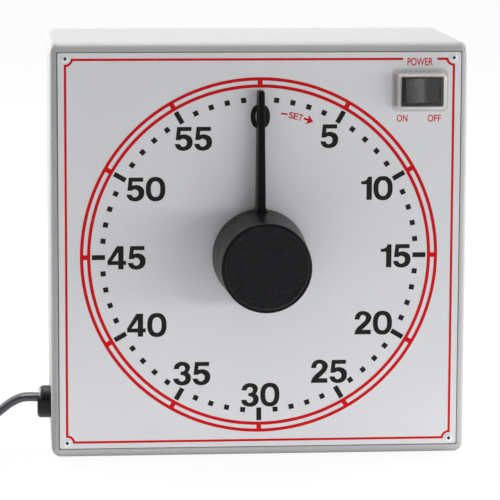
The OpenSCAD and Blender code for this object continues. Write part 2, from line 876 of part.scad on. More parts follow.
module microswitch_screws() {
    color("silver")
    translate([0, 0, dial_z])
        for (p = micro_screws)
            screw(p[0], p[1], plate2_back + micro_t + 1.2, 2, 1.2, micro_screw_r, micro_t + plate_t, flip = true);
}

// Rocker switch
body_w = bezel_w - 1.6;
body_h = bezel_h - 1.6;
body_l = 20;
bezel_t = 2;
flange_gap = 1;
boot_flange = 1;
body_front = panel_y - boot_flange - bezel_t;
rocker_pin_y = panel_y - 1.4;
rocker_pin_r = 1.2;
well_w = rocker_w + 1.8;
well_h = rocker_h + 0.8;
well_d = 9.4;
terminal_l = 8;

module switch_place() {
    translate([switch_x, 0, dial_z + switch_z])
        children();
}

module switch_body() {
    color([0.12, 0.12, 0.13])
    switch_place()
        difference() {
            union() {
                slab(body_front, bezel_t)
                    polygon(round_box(bezel_w, bezel_h, 1, 4));
                block([-body_w / 2, body_front + bezel_t - 0.5, -body_h / 2],
                    [body_w / 2, panel_y + body_l, body_h / 2]);
            }
            block([-well_w / 2, body_front - 1, -well_h / 2], [well_w / 2, body_front + well_d, well_h / 2]);
            translate([0, rocker_pin_y, -well_h / 2 - 0.6])
                cylinder(h = well_h + 1.2, r = rocker_pin_r + run_fit);
            for (x = terminal_xs)
                block([x - 0.42, panel_y + body_l - 4, -2.42], [x + 0.42, panel_y + body_l + 1, 2.42]);
        }
}

// The rocker's face is hollowed along a parabola
module rocker() {
    color([0.1, 0.1, 0.11])
    switch_place()
        translate([0, rocker_pin_y, 0])
            rotate([0, 0, rocker_tilt])
                translate([0, 0, -rocker_h / 2]) {
                    linear_extrude(height = rocker_h)
                        polygon(concat(
                            [for (i = [0 : 16]) let(u = i / 8 - 1) [u * rocker_w / 2, -2.4 - u * u]],
                            [[rocker_w / 2, -1.6], [4, 4], [-4, 4], [-rocker_w / 2, -1.6]]));
                    translate([0, 0, -0.9])
                        cylinder(h = rocker_h + 1.8, r = rocker_pin_r);
                }
}

boot_w = bezel_w + 1.6;
boot_z = bezel_h + 1.6;
boot_flange_w = boot_w + 3.3;
boot_flange_h = boot_z + 3.2;

module splash_boot() {
    color([0.85, 0.85, 0.83, 0.35])
    switch_place()
        difference() {
            union() {
                slab(panel_y - boot_flange, boot_flange)
                    polygon(round_box(boot_flange_w, boot_flange_h, 2.4, 6));
                slab(panel_y - boot_h, boot_h)
                    polygon(round_box(boot_w, boot_z, 1.6, 6));
            }
            slab(panel_y - boot_h + boot_wall, boot_h - boot_wall - boot_flange)
                square([boot_w - 2 * boot_wall, boot_z - 2 * boot_wall], center = true);
            slab(panel_y - boot_flange - 1, boot_flange + 2)
                square([body_w + 0.4, body_h + 0.4], center = true);
        }
}

terminal_xs = [-6, 0, 6];

module switch_terminals() {
    color([0.8, 0.65, 0.35])
    switch_place()
        for (x = terminal_xs)
            block([x - 0.4, panel_y + body_l - 3.9, -2.4], [x + 0.4, panel_y + body_l + terminal_l, 2.4]);
}

// Buzzer: a coil on a core pulls a sprung armature
buzzer_x = 23;
buzzer_z = mid_z;
buzzer_base_t = 1.5;
buzzer_half = 13;
core_r = 3;
coil_r = 9;
coil_l = 13;
buzzer_base_y = plate2_back;
core_y = buzzer_base_y + buzzer_base_t;
core_l = coil_l + 1.4;
armature_gap = 0.8;
armature_y = core_y + core_l + armature_gap;
upright_x = buzzer_x + buzzer_half;
buzzer_screw_places = [[buzzer_x - 9, buzzer_z - 15.5], [buzzer_x - 9, buzzer_z + 15.5]];
armature_pin_r = 0.8;
armature_pin_l = 13;
armature_half = 4;

module buzzer_frame() {
    color([0.55, 0.55, 0.57])
    translate([0, 0, dial_z])
        difference() {
            union() {
                block([buzzer_x - buzzer_half, buzzer_base_y, buzzer_z - 19.5],
                    [upright_x + 2, buzzer_base_y + buzzer_base_t, buzzer_z + 19.5]);
                block([upright_x, buzzer_base_y, buzzer_z - 6], [upright_x + 2, armature_y + 3, buzzer_z - 4.3]);
                block([upright_x, buzzer_base_y, buzzer_z + 4.3], [upright_x + 2, armature_y + 3, buzzer_z + 6]);
                block([upright_x, buzzer_base_y, buzzer_z - 6], [upright_x + 2, armature_y - 3, buzzer_z + 6]);
            }
            for (p = buzzer_screw_places)
                rod(p[0], p[1], buzzer_base_y - 1, 4, stud_r + pin_fit);
            rod(buzzer_x, buzzer_z, buzzer_base_y - 1, 4, 1.5 + pin_fit);
            translate([upright_x + 1, armature_y + 0.5, buzzer_z - 8])
                cylinder(h = 16, r = armature_pin_r + run_fit);
        }
}

module buzzer_core() {
    color("silver")
    translate([0, 0, dial_z]) {
        rod(buzzer_x, buzzer_z, buzzer_base_y + 0.2, 3, 1.5);
        rod(buzzer_x, buzzer_z, core_y, core_l, core_r);
    }
}

module buzzer_bobbin() {
    color([0.9, 0.88, 0.82])
    translate([0, 0, dial_z])
        difference() {
            union() {
                rod(buzzer_x, buzzer_z, core_y, coil_l, core_r + 1);
                rod(buzzer_x, buzzer_z, core_y, 1, coil_r + 1);
                rod(buzzer_x, buzzer_z, core_y + coil_l - 1, 1, coil_r + 1);
            }
            rod(buzzer_x, buzzer_z, core_y - 1, coil_l + 2, core_r + pin_fit);
        }
}

module buzzer_winding() {
    color([0.75, 0.4, 0.2])
    translate([0, 0, dial_z])
        ring(buzzer_x, buzzer_z, core_y + 1, coil_l - 2, coil_r, core_r + 1);
}

module buzzer_armature() {
    color([0.6, 0.6, 0.62])
    translate([0, 0, dial_z]) {
        block([buzzer_x - 6, armature_y, buzzer_z - armature_half],
            [upright_x + 1, armature_y + 1, buzzer_z + armature_half]);
        translate([upright_x + 1, armature_y + 0.5, buzzer_z - armature_pin_l / 2])
            cylinder(h = armature_pin_l, r = armature_pin_r);
    }
}

module buzzer_screws() {
    color("silver")
    translate([0, 0, dial_z])
        for (p = buzzer_screw_places)
            screw(p[0], p[1], core_y + 1.6, 2.8, 1.6, stud_r, buzzer_base_t + plate_t, flip = true);
}

// Terminal block on two bosses of the case's floor
block_x = 12 - case_w / 2;
block_w = 40;
block_y = 32;
block_half = 8;
block_boss_h = 4;
block_floor = foot_h + wall + block_boss_h;
block_h = 12;
cell_pitch = 10;
block_screws_x = [block_x + cell_pitch, block_x + 3 * cell_pitch];
cells_x = [for (k = [0 : 3]) block_x + (k + 0.5) * cell_pitch];
cell_r = 1.6;
cell_z = block_floor + 5;
block_back = block_y + block_half;
block_front = block_y - block_half;

module terminal_block() {
    color([0.92, 0.9, 0.84])
    difference() {
        block([block_x, block_front, block_floor], [block_x + block_w, block_back, block_floor + block_h]);
        for (x = block_screws_x)
            translate([x, block_y, block_floor - 1])
                cylinder(h = block_h + 2, r = screw_r + pin_fit);
        for (x = cells_x) {
            translate([x, block_front - 1, cell_z])
                rotate([-90, 0, 0])
                    cylinder(h = 2 * block_half + 2, r = cell_r);
            translate([x, block_y, cell_z])
                cylinder(h = block_h, r = cell_r);
        }
    }
}

module terminal_screws() {
    color("silver") {
        for (x = block_screws_x)
            translate([x, block_y, foot_h + wall]) {
                cylinder(h = block_boss_h + block_h + 1.6, r = screw_r);
                translate([0, 0, block_boss_h + block_h])
                    cylinder(h = 1.6, r = 2.8);
            }
        for (x = cells_x)
            translate([x, block_y, cell_z + cell_r + 0.2])
                cylinder(h = block_floor + block_h - cell_z - cell_r - 0.6, r = cell_r - pin_fit);
    }
}

// Leads inside the case. Each is a path of points that ends at one of the block's cells.
lead_r = 1.1;
cell_side = 1.3;
function to_cell(x) = [[x, block_back + 6, cell_z + 3], [x, block_back + 3, cell_z],
    [x, block_back + pin_fit, cell_z]];
function from_block(x) = [[x, block_front - 8, cell_z + 2], [x, block_front - 4, cell_z],
    [x, block_front - pin_fit, cell_z]];
leads_in_x = relief_x + wall + relief_inner + 2.1;

module mains_leads() {
    color([0.2, 0.2, 0.2]) {
        wire(concat([[leads_in_x, relief_y + 2, cord_z], [leads_in_x + 4, relief_y + 2, cord_z],
            [leads_in_x + 6, relief_y + 8, cord_z - 2]], from_block(cells_x[0])), lead_r);
        wire(concat([[leads_in_x, relief_y - 2, cord_z], [leads_in_x + 8, relief_y - 2, cord_z],
            [cells_x[1], relief_y + 6, cord_z - 3]], from_block(cells_x[1])), lead_r);
    }
}

module motor_leads() {
    back = plate2_back + motor_l;
    x = motor_x;
    z = dial_z + mid_z - 16;
    color([0.2, 0.3, 0.7]) {
        wire(concat([[x - 4, back + pin_fit, z], [x - 4, back + 6, z], [x - 10, back + 12, z - 8],
            [-50, block_y + 16, z - 5], [cells_x[2] + 2.5, block_back + 10, cell_z + 8]],
            to_cell(cells_x[2] + cell_side)), lead_r);
        wire([[x + 4, back + pin_fit, z], [x + 4, back + 6, z], [x - 2, back + 14, z + 4],
            [-44, block_back + 10, cell_z + 10], [-62, block_back + 12, cell_z - 5],
            [cells_x[1], block_back + 8, cell_z - 4], [cells_x[1] - cell_side, block_back + 4, cell_z],
            [cells_x[1] - cell_side, block_back + pin_fit, cell_z]], lead_r);
    }
}

module switch_leads() {
    y = panel_y + body_l + terminal_l + pin_fit;
    z = dial_z + switch_z;
    left = switch_x + terminal_xs[0];
    middle = switch_x + terminal_xs[1];
    top = case_z + cavity_h / 2;
    color([0.15, 0.15, 0.15]) {
        wire(concat([[left, y, z], [left, y + 6, z], [left - 8, y + 14, z - 2], [30, 30, top - 22],
            [-30, 40, top - 38], [-66, 50, case_z], [cells_x[0] - 2, 52, 60],
            [cells_x[0] - 1, 52, cell_z + 10]], to_cell(cells_x[0])), lead_r);
        wire(concat([[middle, y, z], [middle, y + 6, z], [middle - 4, y + 16, z + 3], [34, 35, top - 16],
            [-28, 45, top - 30], [-60, 55, case_z + 2], [-70, 58, 62],
            [cells_x[2], 57, cell_z + 16]], to_cell(cells_x[2] - cell_side)), lead_r);
    }
}

// From the microswitch to the block, from the microswitch to the buzzer and from the buzzer to the block
module alarm_leads() {
    micro_y = plate2_back + 3.1;
    micro_top = dial_z + micro_z + micro_h + 5;
    coil_z = dial_z + buzzer_z;
    color([0.75, 0.2, 0.2]) {
        wire(concat([[-7, micro_y, micro_top + pin_fit], [-7, micro_y, micro_top + 5],
            [-12, micro_y + 6, micro_top + 8], [-30, 30, case_z + 20], [-30, 56, 70], [-34, 57, 30],
            [-43, 54, cell_z + 4]], to_cell(cells_x[3])), lead_r);
        wire([[7, micro_y, micro_top + pin_fit], [7, micro_y, micro_top + 5],
            [14, micro_y + 8, micro_top + 6], [34, 18, case_z + 12], [34, 16, coil_z + 30],
            [buzzer_x + 2, core_y + 6, coil_z + coil_r + 9], [buzzer_x, core_y + 4, coil_z + coil_r + 5],
            [buzzer_x, core_y + 4, coil_z + coil_r + pin_fit]], lead_r);
        wire(concat([[buzzer_x, core_y + 9, coil_z - coil_r - pin_fit],
            [buzzer_x, core_y + 9, coil_z - coil_r - 5], [buzzer_x - 3, 16, coil_z - 22], [0, 40, 16],
            [-30, 56, 9], [-58, 58, 9], [cells_x[1] + 3, 55, cell_z + 4]],
            to_cell(cells_x[1] + cell_side)), lead_r);
    }
}

// Strain relief: two halves clamp the cord in the case's left wall
relief_round = 2;
cord_fit = 0.1;

// Its profile from the middle outwards, with the outside of the case upwards
module relief_whole() {
    translate([relief_x, relief_y, relief_z])
        rotate([0, -90, 0])
            rotate_extrude()
                polygon(concat(
                    [[0, -wall - relief_inner], [relief_neck_d / 2, -wall - relief_inner],
                        [relief_neck_d / 2, 0], [relief_d / 2, 0]],
                    arc_points([relief_d / 2 - relief_round, relief_out - relief_round], relief_round, 0, 90, 8),
                    [[0, relief_out]]));
}

module relief_channel() {
    block([relief_x - relief_out - 1, relief_y - cord_w / 2 - cord_fit, cord_z - cord_t / 2 - cord_fit],
        [relief_x + wall + relief_inner + 1, relief_y + cord_w / 2 + cord_fit, cord_z + cord_t / 2 + cord_fit]);
}

module strain_relief_body() {
    color([0.13, 0.13, 0.13])
    difference() {
        relief_whole();
        relief_channel();
        block([relief_x - 10, relief_y - 20, cord_z], [relief_x + 20, relief_y + 20, cord_z + 20]);
    }
}

module strain_relief_wedge() {
    color([0.2, 0.2, 0.2])
    difference() {
        relief_whole();
        relief_channel();
        block([relief_x - 10, relief_y - 20, cord_z - 30], [relief_x + 20, relief_y + 20, cord_z + 0.15]);
    }
}

// Flat cord. Its free stretch runs from inside the strain relief to the coil at the height of the
// coil's upper layer, and turns from lying flat to standing on edge on the way.
cord_start_x = relief_x + wall + relief_inner + 2;
upper_z = 12.8;
lower_z = 4.4;
coil_x = -183;
coil_r_out = 48.5;
coil_pitch = 4.9;
coil_turns = 6.75;
straight = 8;
stretch_xz = [[-82, 26.2], [-90, 26.2], [-98, 26.2], [-103.4, 26.2], [-107.4, 26.3], [-110.6, 26],
    [-113.6, 24.9], [-116.4, 23.3], [-119, 21.4], [-121.6, 19.3], [-124.4, 17.2], [-127.4, 15.4],
    [-131, 14], [-135.4, 13.1], [-140, 12.8], [-146, 12.8], [-152, 12.8], [-158, 12.8], [-163, 12.8],
    [-167, 12.8], [-175, 12.8]];
tail_yz = [[36.5, 4.4], [30, 4.4], [24, 4.4], [18, 4.1], [12, 3.6], [6, 3.3], [0, 3.9], [-6, 5.1],
    [-11, 6.4], [-16, 7], [-20, 7]];
coil_y = relief_y + coil_r_out;
stretch_path = [for (p = stretch_xz) [p[0], relief_y, p[1]]];
tail_x = coil_x + coil_r_out;
tail_path = [for (p = tail_yz) [tail_x, relief_y + 4 + p[0], p[1]]];

// How far the cord's section has turned on edge, from 0 to 1
function ease(t) = let(u = max(0, min(1, t))) u * u * (3 - 2 * u);
function stretch_turn(p) = ease((-140 - p[0]) / 27);
function tail_turn(p) = 1 - ease((relief_y + 34 - p[1]) / 30);

flat_section = [[cord_w / 2, 0.8], [cord_w / 2 - 1.2, cord_t / 2], [1.2 - cord_w / 2, cord_t / 2],
    [-cord_w / 2, 0.8], [-cord_w / 2, -0.8], [1.2 - cord_w / 2, -cord_t / 2],
    [cord_w / 2 - 1.2, -cord_t / 2], [cord_w / 2, -0.8]];

// One ring of the flat cord: wide is the direction of its width when it lies flat
function cord_ring(path, i, wide, turn) =
    let(t = tangent(path, i),
        flat = unit(wide - (wide * t) * t),
        up = cross(flat, t),
        w = cos(90 * turn) * flat + sin(90 * turn) * up,
        n = cross(w, t))
    [for (s = flat_section) path[i] + s[0] * w + s[1] * n];

module power_cord() {
    color([0.1, 0.1, 0.1])
    tube([for (i = [0 : len(stretch_path) - 1])
        cord_ring(stretch_path, i, [0, 1, 0], stretch_turn(stretch_path[i]))]);
}

module cord_tail() {
    color([0.1, 0.1, 0.1])
    tube([for (i = [0 : len(tail_path) - 1])
        cord_ring(tail_path, i, [1, 0, 0], tail_turn(tail_path[i]))]);
}

// The coil spirals in on the upper layer, drops a layer in the half turn where it reverses,
// and spirals out on the lower layer. Its ends run straight.
half_turns = coil_turns / 2;
function coil_radius(t) = coil_r_out - coil_pitch * (t < half_turns ? t : coil_turns - t);
function coil_height(t) = upper_z + (lower_z - upper_z) * ease((t - half_turns) * 2 + 0.5);
function coil_point(t) = let(a = -90 - 360 * t, r = coil_radius(t))
    [coil_x + r * cos(a), coil_y + r * sin(a), coil_height(t)];
coil_steps = ceil(coil_turns * 24);
coil_middle = [for (i = [0 : coil_steps]) coil_point(coil_turns * i / coil_steps)];
coil_path = concat([[coil_x + straight, relief_y, upper_z], [coil_x + straight / 2, relief_y, upper_z]],
    coil_middle, [[tail_x, coil_y - straight / 2, lower_z], [tail_x, coil_y - straight, lower_z]]);
edge_section = [[0, cord_w / 2], [cord_t / 2, cord_w / 4], [cord_t / 2, -cord_w / 4],
    [0, -cord_w / 2], [-cord_t / 2, -cord_w / 4], [-cord_t / 2, cord_w / 4]];

// At its ends the coil follows the straight run, not the spiral's slight slope
function coil_tangent(i) =
    i < 3 ? [-1, 0, 0] : i > len(coil_path) - 4 ? [0, -1, 0]
    : let(t = tangent(coil_path, i)) unit([t[0], t[1], 0]);
function coil_ring(i) = let(t = coil_tangent(i), out = cross(t, [0, 0, 1]))
    [for (s = edge_section) coil_path[i] + s[0] * out + s[1] * [0, 0, 1]];

module cord_coil() {
    color([0.1, 0.1, 0.1])
    tube([for (i = [0 : len(coil_path) - 1]) coil_ring(i)]);
}

// Least gap between two turns, from their distances across and up, for the six-sided section
edge_n = unit([cord_w / 4, cord_t / 2]);
function turn_gap(a, b) =
    let(dr = norm([a[0] - b[0], a[1] - b[1]]), dz = abs(a[2] - b[2]))
    max(dr - cord_t, edge_n[0] * dr + edge_n[1] * dz - edge_n[1] * cord_w);
coil_gap = min([for (i = [0 : coil_steps - 12]) for (j = [i + 12 : coil_steps])
    turn_gap(coil_middle[i], coil_middle[j])]);
echo(coil_least_gap = coil_gap);
echo(cord_length = path_length(stretch_path) + path_length(coil_path) + path_length(tail_path));

// Tie round the bundle, on the side away from the case
tie_w = 6;
tie_t = 0.4;
tie_in = coil_r_out - coil_pitch * half_turns - cord_t / 2 - 0.5;
tie_out = coil_r_out + cord_t / 2 + 0.5;
tie_low = lower_z - cord_w / 2 - 0.1;
tie_high = upper_z + cord_w / 2 + 0.1;

module cord_tie() {
    color([0.12, 0.12, 0.12])
    translate([coil_x, coil_y + tie_w / 2, 0])
        rotate([90, 0, 0])
            linear_extrude(height = tie_w)
                translate([-(tie_in + tie_out) / 2, (tie_low + tie_high) / 2])
                    difference() {
                        polygon(round_box(tie_out - tie_in + 2 * tie_t, tie_high - tie_low + 2 * tie_t, 2, 4));
                        polygon(round_box(tie_out - tie_in, tie_high - tie_low, 1.6, 4));
                    }
}

// Plug: a moulded body and two flat blades, lying on its wide side
plug_y = tail_path[len(tail_path) - 1][1];
plug_z = tail_path[len(tail_path) - 1][2];
blade_t = 1.5;
blade_w = 6.3;

module plug_body() {
    color([0.1, 0.1, 0.1])
    translate([tail_x, plug_y, plug_z])
        difference() {
            intersection() {
                rotate([90, 0, 0])
                    linear_extrude(height = plug_l)
                        polygon(round_box(plug_w, plug_t, 3, 6));
                translate([0, 0, -plug_t])
                    linear_extrude(height = 2 * plug_t)
                        polygon(concat([[-6, 0]],
                            arc_points([6 - plug_w / 2, -16], 6, 180, 180, 1),
                            [[-plug_w / 2, -plug_l], [plug_w / 2, -plug_l]],
                            arc_points([plug_w / 2 - 6, -16], 6, 0, 0, 1),
                            [[6, 0]]));
            }
            for (sx = [-1, 1])
                block([sx * blade_pitch / 2 - blade_t / 2 - pin_fit, -plug_l - 1, -blade_w / 2 - pin_fit],
                    [sx * blade_pitch / 2 + blade_t / 2 + pin_fit, -plug_l + 8, blade_w / 2 + pin_fit]);
        }
}

module plug_blades() {
    color([0.8, 0.68, 0.4])
    translate([tail_x, plug_y, plug_z])
        for (sx = [-1, 1])
            difference() {
                block([sx * blade_pitch / 2 - blade_t / 2, -plug_l - blade_l, -blade_w / 2],
                    [sx * blade_pitch / 2 + blade_t / 2, -plug_l + 7.9, blade_w / 2]);
                translate([sx * blade_pitch / 2 - 3, -plug_l - blade_l + 4.5, 0])
                    rotate([0, 90, 0])
                        cylinder(h = 6, r = 1.6);
            }
}

housing();
front_panel();
panel_screws();
rear_cover();
rear_cover_screws();
rubber_feet();
knob();
knob_insert();
knob_set_screw();
dial_shaft();
shaft_bushing();
bushing_nut();
panel_studs();
stud_nuts();
movement_front_plate();
movement_rear_plate();
movement_pillars();
movement_screws();
dial_wheel();
clutch_spring();
clutch_collar();
stop_arm();
stop_post();
shaft_retaining_ring();
intermediate_wheel();
intermediate_pin();
motor_case();
motor_pinion();
motor_screws();
switch_cam();
microswitch();
microswitch_lever();
microswitch_plunger();
microswitch_screws();
switch_body();
rocker();
splash_boot();
switch_terminals();
buzzer_frame();
buzzer_core();
buzzer_bobbin();
buzzer_winding();
buzzer_armature();
buzzer_screws();
terminal_block();
terminal_screws();
mains_leads();
motor_leads();
switch_leads();
alarm_leads();
strain_relief_body();
strain_relief_wedge();
power_cord();
cord_coil();
cord_tail();
cord_tie();
plug_body();
plug_blades();
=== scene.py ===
import math
import bmesh
import bpy
import numpy as np
from mathutils import Matrix, Vector


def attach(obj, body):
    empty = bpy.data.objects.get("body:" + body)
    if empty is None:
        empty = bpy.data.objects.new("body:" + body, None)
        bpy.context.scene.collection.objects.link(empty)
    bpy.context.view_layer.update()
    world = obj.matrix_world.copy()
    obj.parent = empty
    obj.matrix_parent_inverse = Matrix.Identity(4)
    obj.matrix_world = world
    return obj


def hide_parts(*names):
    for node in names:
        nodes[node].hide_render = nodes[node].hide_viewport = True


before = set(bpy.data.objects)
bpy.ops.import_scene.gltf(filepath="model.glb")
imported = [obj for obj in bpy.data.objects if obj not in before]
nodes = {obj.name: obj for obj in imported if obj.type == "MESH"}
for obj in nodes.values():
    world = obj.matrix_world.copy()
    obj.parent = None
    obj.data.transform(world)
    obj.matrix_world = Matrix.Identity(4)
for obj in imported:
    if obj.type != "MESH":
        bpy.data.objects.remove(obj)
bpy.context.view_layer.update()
mm = 0.001
print("frame loaded:", len(nodes), "CAD nodes")

# Camera, where the photograph was taken from
cameraSpec = {
    "focalPixels": 2800,
    "imagePixels": 500,
    "sensor": 36,
    "clip": 20,
    "fromDial": (-113.81, -1280.99, 197.36),
    "right": (0.996424, -0.084413, 0.003744),
    "up": (0.008943, 0.149417, 0.988734),
    "back": (-0.084022, -0.985164, 0.149638),
}
dial = {"x": 0, "y": -27.65, "z": 96.4}  # middle of the dial on the panel's face, mm

cameraData = bpy.data.cameras.new("camera")
cameraData.sensor_width = cameraSpec["sensor"]
cameraData.lens = cameraSpec["sensor"] * cameraSpec["focalPixels"] / cameraSpec["imagePixels"]
cameraData.clip_end = cameraSpec["clip"]
camera = bpy.data.objects.new("camera", cameraData)
bpy.context.scene.collection.objects.link(camera)
turn = Matrix((cameraSpec["right"], cameraSpec["up"], cameraSpec["back"])).transposed()
place = (Vector((dial["x"], dial["y"], dial["z"])) + Vector(cameraSpec["fromDial"])) * mm
camera.matrix_world = Matrix.Translation(place) @ turn.to_4x4()
bpy.context.scene.camera = camera
bpy.context.scene.view_settings.view_transform = "Standard"
print("camera placed")


# Materials. One function turns sRGB hex to linear, one adds a node
def toLinear(hexColour):
    values = [int(hexColour[i:i + 2], 16) / 255 for i in (1, 3, 5)]
    return tuple(v / 12.92 if v <= 0.04045 else ((v + 0.055) / 1.055) ** 2.4 for v in values) + (1,)


def addNode(tree, kind, inputs=None, **settings):
    node = tree.nodes.new("ShaderNode" + kind)
    for key, value in settings.items():
        setattr(node, key, value)
    for key, value in (inputs or {}).items():
        if isinstance(value, bpy.types.NodeSocket):
            tree.links.new(value, node.inputs[key])
        else:
            node.inputs[key].default_value = value
    return node


# A surface with a grain of the given size and depth in mm, a slight mottling of its colour,
# and roughness that changes a little over larger patches
def makeMaterial(name, colour, roughness, grain, depth, mottle=0.04, patch=9.0, spread=0.08,
                 stretch=(1, 1, 1), detail=4.0, metallic=0, specular=0.5, subsurface=0):
    material = bpy.data.materials.new(name)
    material.use_nodes = True
    tree = material.node_tree
    shader = tree.nodes["Principled BSDF"]
    shader.inputs["Metallic"].default_value = metallic
    shader.inputs["Specular IOR Level"].default_value = specular
    shader.inputs["Subsurface Weight"].default_value = subsurface
    shader.inputs["Subsurface Scale"].default_value = 2 * mm
    where = addNode(tree, "TexCoord").outputs["Object"]
    along = addNode(tree, "Mapping", {"Vector": where, "Scale": stretch}).outputs["Vector"]
    fine = addNode(tree, "TexNoise", {"Vector": along, "Scale": 1 / (grain * mm), "Detail": detail,
                                      "Roughness": 0.55}).outputs["Fac"]
    broad = addNode(tree, "TexNoise", {"Vector": where, "Scale": 1 / (patch * mm),
                                       "Detail": 2.0}).outputs["Fac"]
    linear = toLinear(colour)
    low = tuple(v * (1 - mottle) for v in linear[:3]) + (1,)
    high = tuple(min(1, v * (1 + mottle)) for v in linear[:3]) + (1,)
    blend = addNode(tree, "Math", {0: fine, 1: broad}, operation="ADD").outputs[0]
    half = addNode(tree, "Math", {0: blend, 1: 0.5}, operation="MULTIPLY").outputs[0]
    tinted = addNode(tree, "Mix", {"Factor": half, "A": low, "B": high}, data_type="RGBA")
    tree.links.new(tinted.outputs["Result"], shader.inputs["Base Color"])
    rough = addNode(tree, "MapRange", {"Value": broad, "From Min": 0.3, "From Max": 0.7,
                                       "To Min": roughness * (1 - spread),
                                       "To Max": min(1, roughness * (1 + spread))})
    tree.links.new(rough.outputs["Result"], shader.inputs["Roughness"])
    bump = addNode(tree, "Bump", {"Height": fine, "Strength": 1.0, "Distance": depth * mm})
    tree.links.new(bump.outputs["Normal"], shader.inputs["Normal"])
    return material


finishes = {
    # High-impact polystyrene from a spark-eroded tool: pale grey, even fine grain, soft sheen
    "mouldedPolystyrene": dict(colour="#BABABB", roughness=0.48, grain=0.55, depth=0.010, mottle=0.02),
    # Aluminium sheet with a satin lacquer: cool light grey with a soft metallic lift
    "satinLacqueredAluminium": dict(colour="#E4E5E8", roughness=0.46, grain=0.35, depth=0.002, mottle=0.012,
                                    patch=30, metallic=0.12),
    # Screen-printed enamel ink: flat and dense, hardly any shine
    "blackScreenInk": dict(colour="#201D1F", roughness=0.6, grain=0.3, depth=0.002, specular=0.15),
    "redScreenInk": dict(colour="#D41B23", roughness=0.6, grain=0.3, depth=0.002, specular=0.05),
    # Phenolic moulding, its side polished in the tool: near black with a soft gloss
    "polishedPhenolic": dict(colour="#111216", roughness=0.34, grain=0.4, depth=0.002, mottle=0.06,
                             specular=0.1),
    # The same phenolic from an etched leather-grain tool face: its shine broken into small cells
    "grainedPhenolic": dict(colour="#14191E", roughness=0.36, grain=0.8, depth=0.05, mottle=0.12, detail=2.0,
                            specular=0.17),
    # The same phenolic on the bevel round the face, lighter and shinier: a painted highlight line
    "highlightBevelPhenolic": dict(colour="#1C1D20", roughness=0.25, grain=0.4, depth=0.001, mottle=0.06),
    # Nylon of the rocker from a polished tool: smooth black with a gentle shine
    "rockerNylon": dict(colour="#0D0F14", roughness=0.16, grain=0.3, depth=0.001, specular=0.4),
    # Nylon of both switches' bodies from a plain tool: dull black
    "switchNylon": dict(colour="#111317", roughness=0.5, grain=0.3, depth=0.003, specular=0.25),
    # Nickel plating on the panel's steel screws, dulled by handling: pale, with a soft bluish shine
    "dulledNickel": dict(colour="#EDF2F4", roughness=0.42, grain=0.3, depth=0.002, metallic=0.2),
    # Moulded foot rubber: dull, slightly chalky black
    "footRubber": dict(colour="#242424", roughness=0.85, grain=0.4, depth=0.015, mottle=0.15),
    # Natural nylon: milky off-white with a waxy shine
    "naturalNylon": dict(colour="#E6E1D2", roughness=0.42, grain=0.6, depth=0.004, subsurface=0.15),
    # Moulded acetal of the little plunger: clear red with a soft gloss
    "redAcetal": dict(colour="#B3242A", roughness=0.35, grain=0.3, depth=0.001),
    # Extruded PVC insulation of the leads: smooth, with a soft shine
    "blackLead": dict(colour="#1C1C1C", roughness=0.45, grain=0.6, depth=0.004),
    "blueLead": dict(colour="#2B4FA3", roughness=0.42, grain=0.6, depth=0.004),
    "redLead": dict(colour="#B5242B", roughness=0.42, grain=0.6, depth=0.004),
    # Moulded nylon of the strain relief: satin black
    "reliefNylon": dict(colour="#111112", roughness=0.42, grain=0.5, depth=0.004, mottle=0.08, specular=0.35),
    # Extruded PVC cord: a dark grey with a cold cast, smooth, with a clear highlight along its edge
    "cordVinyl": dict(colour="#45444D", roughness=0.2, grain=1.6, depth=0.004, mottle=0.08, specular=0.8),
    # Moulded plug of the same PVC, duller from its tool
    "plugVinyl": dict(colour="#26262A", roughness=0.46, grain=0.5, depth=0.008, mottle=0.08),
}
metalFinishes = {
    # Bright nickel plating on steel screws: pale, with a clear shine
    "nickelPlatedSteel": dict(colour="#D6D6D2", roughness=0.22, grain=0.2, depth=0.001),
    # Brass off the lathe: warm, with fine turning marks along one way
    "turnedBrass": dict(colour="#D9B36A", roughness=0.28, grain=0.25, depth=0.002, stretch=(1, 8, 1)),
    # Stamped brass wheels: a little duller and more yellow
    "stampedBrass": dict(colour="#D2AE5E", roughness=0.36, grain=0.6, depth=0.003),
    # Nickel-plated brass of the plug's blades: pale and warm, lightly scuffed along its length
    "platedBlade": dict(colour="#CFC9B8", roughness=0.3, grain=0.5, depth=0.002, stretch=(1, 0.2, 1)),
    # Black-oxide steel: dark with a faint blue-brown cast. It also darkens the panel screws' cross recesses
    # as painted shade
    "blackOxideAndPaintedShade": dict(colour="#2B2A2B", roughness=0.45, grain=0.4, depth=0.003),
    # Ground steel: bright with straight fine lines
    "groundSteel": dict(colour="#C4C5C8", roughness=0.25, grain=0.2, depth=0.001, stretch=(1, 0.1, 1)),
    # Zinc-plated sheet steel: pale grey-blue with a soft spangle
    "zincPlatedSteel": dict(colour="#BFC4C8", roughness=0.38, grain=2.5, depth=0.002, mottle=0.08),
    # Rolled spring steel: cool mid grey, smooth
    "springSteel": dict(colour="#8E9096", roughness=0.3, grain=0.3, depth=0.001),
    # Deep-drawn motor can with a galvanised skin: soft grey, drawn out along one way
    "drawnMotorCan": dict(colour="#B9BCBE", roughness=0.42, grain=1.2, depth=0.003, stretch=(1, 0.15, 1)),
}
materials = {name: makeMaterial(name, **spec) for name, spec in finishes.items()}
for name, spec in metalFinishes.items():
    materials[name] = makeMaterial(name, metallic=1, **spec)
print("materials made:", len(materials))


# A wave texture repeats after the spacing in mm: there 20 times its scaled position is one full turn
def waveScale(spacing):
    return 2 * math.pi / (20 * spacing * mm)


